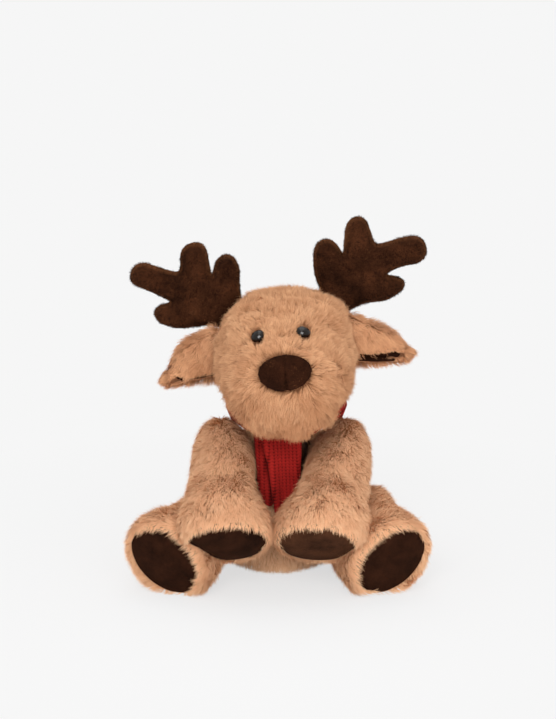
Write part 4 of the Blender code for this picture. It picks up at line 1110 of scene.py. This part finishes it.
def scarf_end(node, middle, width, length, taper, slant, fold, fold_at):
    """One flat end of the scarf: a tapering strip that lies on the chest, folded near one side."""
    low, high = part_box(node)
    front = front_of(node)
    coarse_along, coarse_across = 26, 16
    down = np.linspace(0.0, 1.0, coarse_along)
    over = np.linspace(-0.5, 0.5, coarse_across)

    def x_at(d, o):
        return middle + slant * d + width * o * (1.0 - taper * d)

    rows = [[front(x_at(d, o * 0.94), high.z - 0.5 * MILLIMETRE - (length - MILLIMETRE) * d) for o in over]
            for d in down]
    depths = filled(rows)
    columns = int(width / KNIT_GRID)
    count = int(length / KNIT_GRID)
    fine_down = np.linspace(0.0, 1.0, count)
    fine_over = np.linspace(-0.5, 0.5, columns)
    first = np.array([np.interp(fine_over, over, row) for row in depths])
    ys = np.array([np.interp(fine_down, down, first[:, k]) for k in range(columns)]).T
    d, o = np.meshgrid(fine_down, fine_over, indexing="ij")
    xs = x_at(d, o)
    if fold > 0.0:
        xs = xs + 1.8 * MILLIMETRE * np.clip((d - 0.15) / 0.20, 0.0, 1.0) * np.clip(-2.0 * o, 0.0, 1.0)
    zs = high.z - length * d
    ys = ys - fold * np.exp(-(((o - fold_at) / 0.20) ** 2))
    ys = ys + 1.0 * MILLIMETRE * np.clip((np.abs(o) - 0.44) / 0.06, 0.0, 1.0) ** 2
    if fold < 0.0:
        fallen = np.clip((WIDE_TOP - zs) / 0.062, 0.0, 1.0)
        beside = xs + 0.0132 - 0.0102 * fallen ** 0.6
        deep = np.exp(-((beside / (2.2 * MILLIMETRE)) ** 4)) * np.clip(fallen / 0.32, 0.0, 1.0)
        ys = ys + 5.2 * MILLIMETRE * deep
    spots = np.stack((xs, ys, zs), axis=-1)
    run_down = np.gradient(spots, axis=0)
    run_over = np.gradient(spots, axis=1)
    ups = np.cross(run_over, run_down)
    ups /= np.linalg.norm(ups, axis=-1, keepdims=True)
    ups *= np.where(ups[..., 1:2] > 0.0, -1.0, 1.0)
    height = stitches(xs - middle - slant * d, d * length)
    piece = knitted(node + "_knit", spots, ups, height, False, False, 1.5 * MILLIMETRE)
    KNIT.on(piece)
    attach(piece, "torso")
    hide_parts(node)
    return piece


WIDE_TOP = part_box("scarf_wide_end")[1].z
# Middle, width, length, taper, slant, and a fold with its place. The narrow end's fold goes in,
# where it passes beside the wide end, and the wide end's fold stands out.
END_SIZES = {
    "scarf_narrow_end": (-0.0065, 0.0225, 0.0560, 0.35, 0.0010, -1.8 * MILLIMETRE, 0.15),
    "scarf_wide_end": (0.0030, 0.0290, 0.0620, 0.42, 0.0030, 3.0 * MILLIMETRE, -0.46),
}
for node, sizes in END_SIZES.items():
    piece = scarf_end(node, *sizes)

# The band: the scarf's middle, rolled into a soft ring with a lengthwise fold on its outside.
BAND_MIDDLE = Vector((0.0065, -0.003, 0.1269))
BAND_TILT = math.radians(13.0)
BAND_RADII = (0.0415, 0.0350)
BAND_ROLL = (6.3 * MILLIMETRE, 10.4 * MILLIMETRE)
round_steps, roll_steps = 560, 108
turn = np.linspace(0.0, 2.0 * math.pi, round_steps, endpoint=False)[:, None]
roll = np.linspace(0.0, 2.0 * math.pi, roll_steps, endpoint=False)[None, :]
outer_fold = (roll + 0.35 * np.sin(turn * 2.0) - 0.4 + math.pi) % (2.0 * math.pi) - math.pi
upper_fold = (roll - 1.3 + 0.3 * np.sin(turn * 3.0 + 1.0) + math.pi) % (2.0 * math.pi) - math.pi
crease = 1.0 - 0.16 * np.exp(-(outer_fold / 0.35) ** 2) - 0.10 * np.exp(-(upper_fold / 0.3) ** 2)
soft = 1.0 + 0.05 * np.sin(turn * 5.0 + 2.0) + 0.04 * np.sin(turn * 11.0)
out_by = BAND_ROLL[0] * np.cos(roll) * crease * soft
lift = BAND_ROLL[1] * np.sin(roll) * (0.5 + 0.5 * crease) + 0.6 * MILLIMETRE * np.sin(turn * 4.0)
spots = np.stack(np.broadcast_arrays((BAND_RADII[0] + out_by) * np.cos(turn), (BAND_RADII[1] + out_by) * np.sin(turn),
                                     lift), axis=-1)
tilt = np.array(Matrix.Rotation(BAND_TILT, 3, "X"))
spots = spots @ tilt.T + np.array(BAND_MIDDLE)
band_tree = tree_of(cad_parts["scarf_band"])
flat_spots = spots.reshape(-1, 3)
for k, spot in enumerate(flat_spots):
    place, normal, _, away = band_tree.find_nearest(Vector(spot))
    if (Vector(spot) - place).dot(normal) > 0.3 * MILLIMETRE:
        flat_spots[k] = place + normal * 0.3 * MILLIMETRE
spots = flat_spots.reshape(spots.shape)
ups = np.cross(*(np.roll(spots, -1, axis=k) - np.roll(spots, 1, axis=k) for k in (1, 0)))
ups /= np.maximum(np.linalg.norm(ups, axis=-1, keepdims=True), 1e-12)
centre_line = spots.mean(axis=1, keepdims=True)
ups *= np.sign((ups * (spots - centre_line)).sum(axis=-1, keepdims=True))
span = np.linalg.norm(np.roll(spots, -1, axis=1) - spots, axis=-1).sum(axis=1).mean()
girth = 2.0 * math.pi * 0.5 * (BAND_RADII[0] + BAND_RADII[1])
wales = round(span / WALE)
courses = round(girth / COURSE)
height = stitches(np.broadcast_to(roll / (2.0 * math.pi) * wales * WALE, spots.shape[:2]),
                  np.broadcast_to(turn / (2.0 * math.pi) * courses * COURSE, spots.shape[:2]))
band = knitted("scarf_band_knit", spots, ups, height, True, True, 0.0)
KNIT.on(band)
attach(band, "torso")
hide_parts("scarf_band")

# Camera, floor and studio light: a long lens a little above the toy, and a white sweep that the
# camera sees as the background's own tone, with a soft shadow near the seat.
FOCAL_PIXELS, PICTURE_HEIGHT = 1645.6, 719.0
SENSOR = 36.0
camera_data = bpy.data.cameras.new("camera")
camera_data.sensor_fit = "VERTICAL"
camera_data.sensor_height = SENSOR
camera_data.lens = FOCAL_PIXELS / PICTURE_HEIGHT * SENSOR
camera = placed("camera", camera_data)
CAMERA_ELEVATION = math.radians(12.0)
CAMERA_DISTANCE = 1.3
target = Vector((0.0, 0.0, 0.162))
camera.location = target + Vector((0.0, -math.cos(CAMERA_ELEVATION), math.sin(CAMERA_ELEVATION))) * CAMERA_DISTANCE
camera.rotation_euler = (math.radians(90.0) - CAMERA_ELEVATION, 0.0, 0.0)
bpy.context.scene.camera = camera

BACKGROUND = (0.922, 0.922, 0.922, 1.0)


def node_in(tree, kind, values=(), **settings):
    """A node with its settings, its inputs set to values or joined to sockets."""
    made = tree.nodes.new(kind)
    for key, value in settings.items():
        setattr(made, key, value)
    for key, value in dict(values).items():
        if isinstance(value, bpy.types.NodeSocket):
            tree.links.new(value, made.inputs[key])
        else:
            made.inputs[key].default_value = value
    return made


bpy.ops.object.select_all(action="DESELECT")
bpy.ops.mesh.primitive_plane_add(size=8.0, location=(0.0, 0.0, -0.2 * MILLIMETRE))
floor = bpy.context.object
floor.name = "floor"
floor_look = bpy.data.materials.new("floor")
floor_look.use_nodes = True
tree = floor_look.node_tree
tree.nodes.clear()
paper = node_in(tree, "ShaderNodeBsdfDiffuse", {"Color": (0.86, 0.86, 0.86, 1.0)})
glow = node_in(tree, "ShaderNodeEmission", {"Color": BACKGROUND})
ray = node_in(tree, "ShaderNodeLightPath")
place = node_in(tree, "ShaderNodeTexCoord")
reach = node_in(tree, "ShaderNodeVectorMath", {0: place.outputs["Object"]}, operation="LENGTH")
fade = node_in(tree, "ShaderNodeMapRange", {"Value": reach.outputs["Value"], "From Min": 0.10, "From Max": 0.42,
                                            "To Min": 0.72, "To Max": 1.0})
weight = node_in(tree, "ShaderNodeMath", {0: ray.outputs["Is Camera Ray"], 1: fade.outputs["Result"]},
                 operation="MULTIPLY")
mix = node_in(tree, "ShaderNodeMixShader", {0: weight.outputs[0], 1: paper.outputs[0], 2: glow.outputs[0]})
node_in(tree, "ShaderNodeOutputMaterial", {0: mix.outputs[0]})
floor.data.materials.append(floor_look)

world = bpy.data.worlds.new("studio")
bpy.context.scene.world = world
world.use_nodes = True
tree = world.node_tree
tree.nodes.clear()
fill = node_in(tree, "ShaderNodeBackground", {"Color": (1.0, 1.0, 1.0, 1.0), "Strength": 0.74})
seen = node_in(tree, "ShaderNodeBackground", {"Color": BACKGROUND, "Strength": 1.0})
ray = node_in(tree, "ShaderNodeLightPath")
mix = node_in(tree, "ShaderNodeMixShader", {0: ray.outputs["Is Camera Ray"], 1: fill.outputs[0], 2: seen.outputs[0]})
node_in(tree, "ShaderNodeOutputWorld", {0: mix.outputs[0]})

for name, place, power, size in (
    ("key", (-0.20, -1.15, 0.80), 6.6, 0.45),
    ("fill", (0.45, -1.25, 0.24), 5.4, 0.7),
    ("top", (0.0, 0.20, 1.4), 3.0, 0.9),
):
    lamp_data = bpy.data.lights.new(name, "AREA")
    lamp_data.energy = power
    lamp_data.size = size
    lamp = placed(name, lamp_data)
    lamp.location = place
    lamp.rotation_euler = (target - Vector(place)).to_track_quat("-Z", "Y").to_euler()

bpy.context.scene.view_settings.view_transform = "Standard"
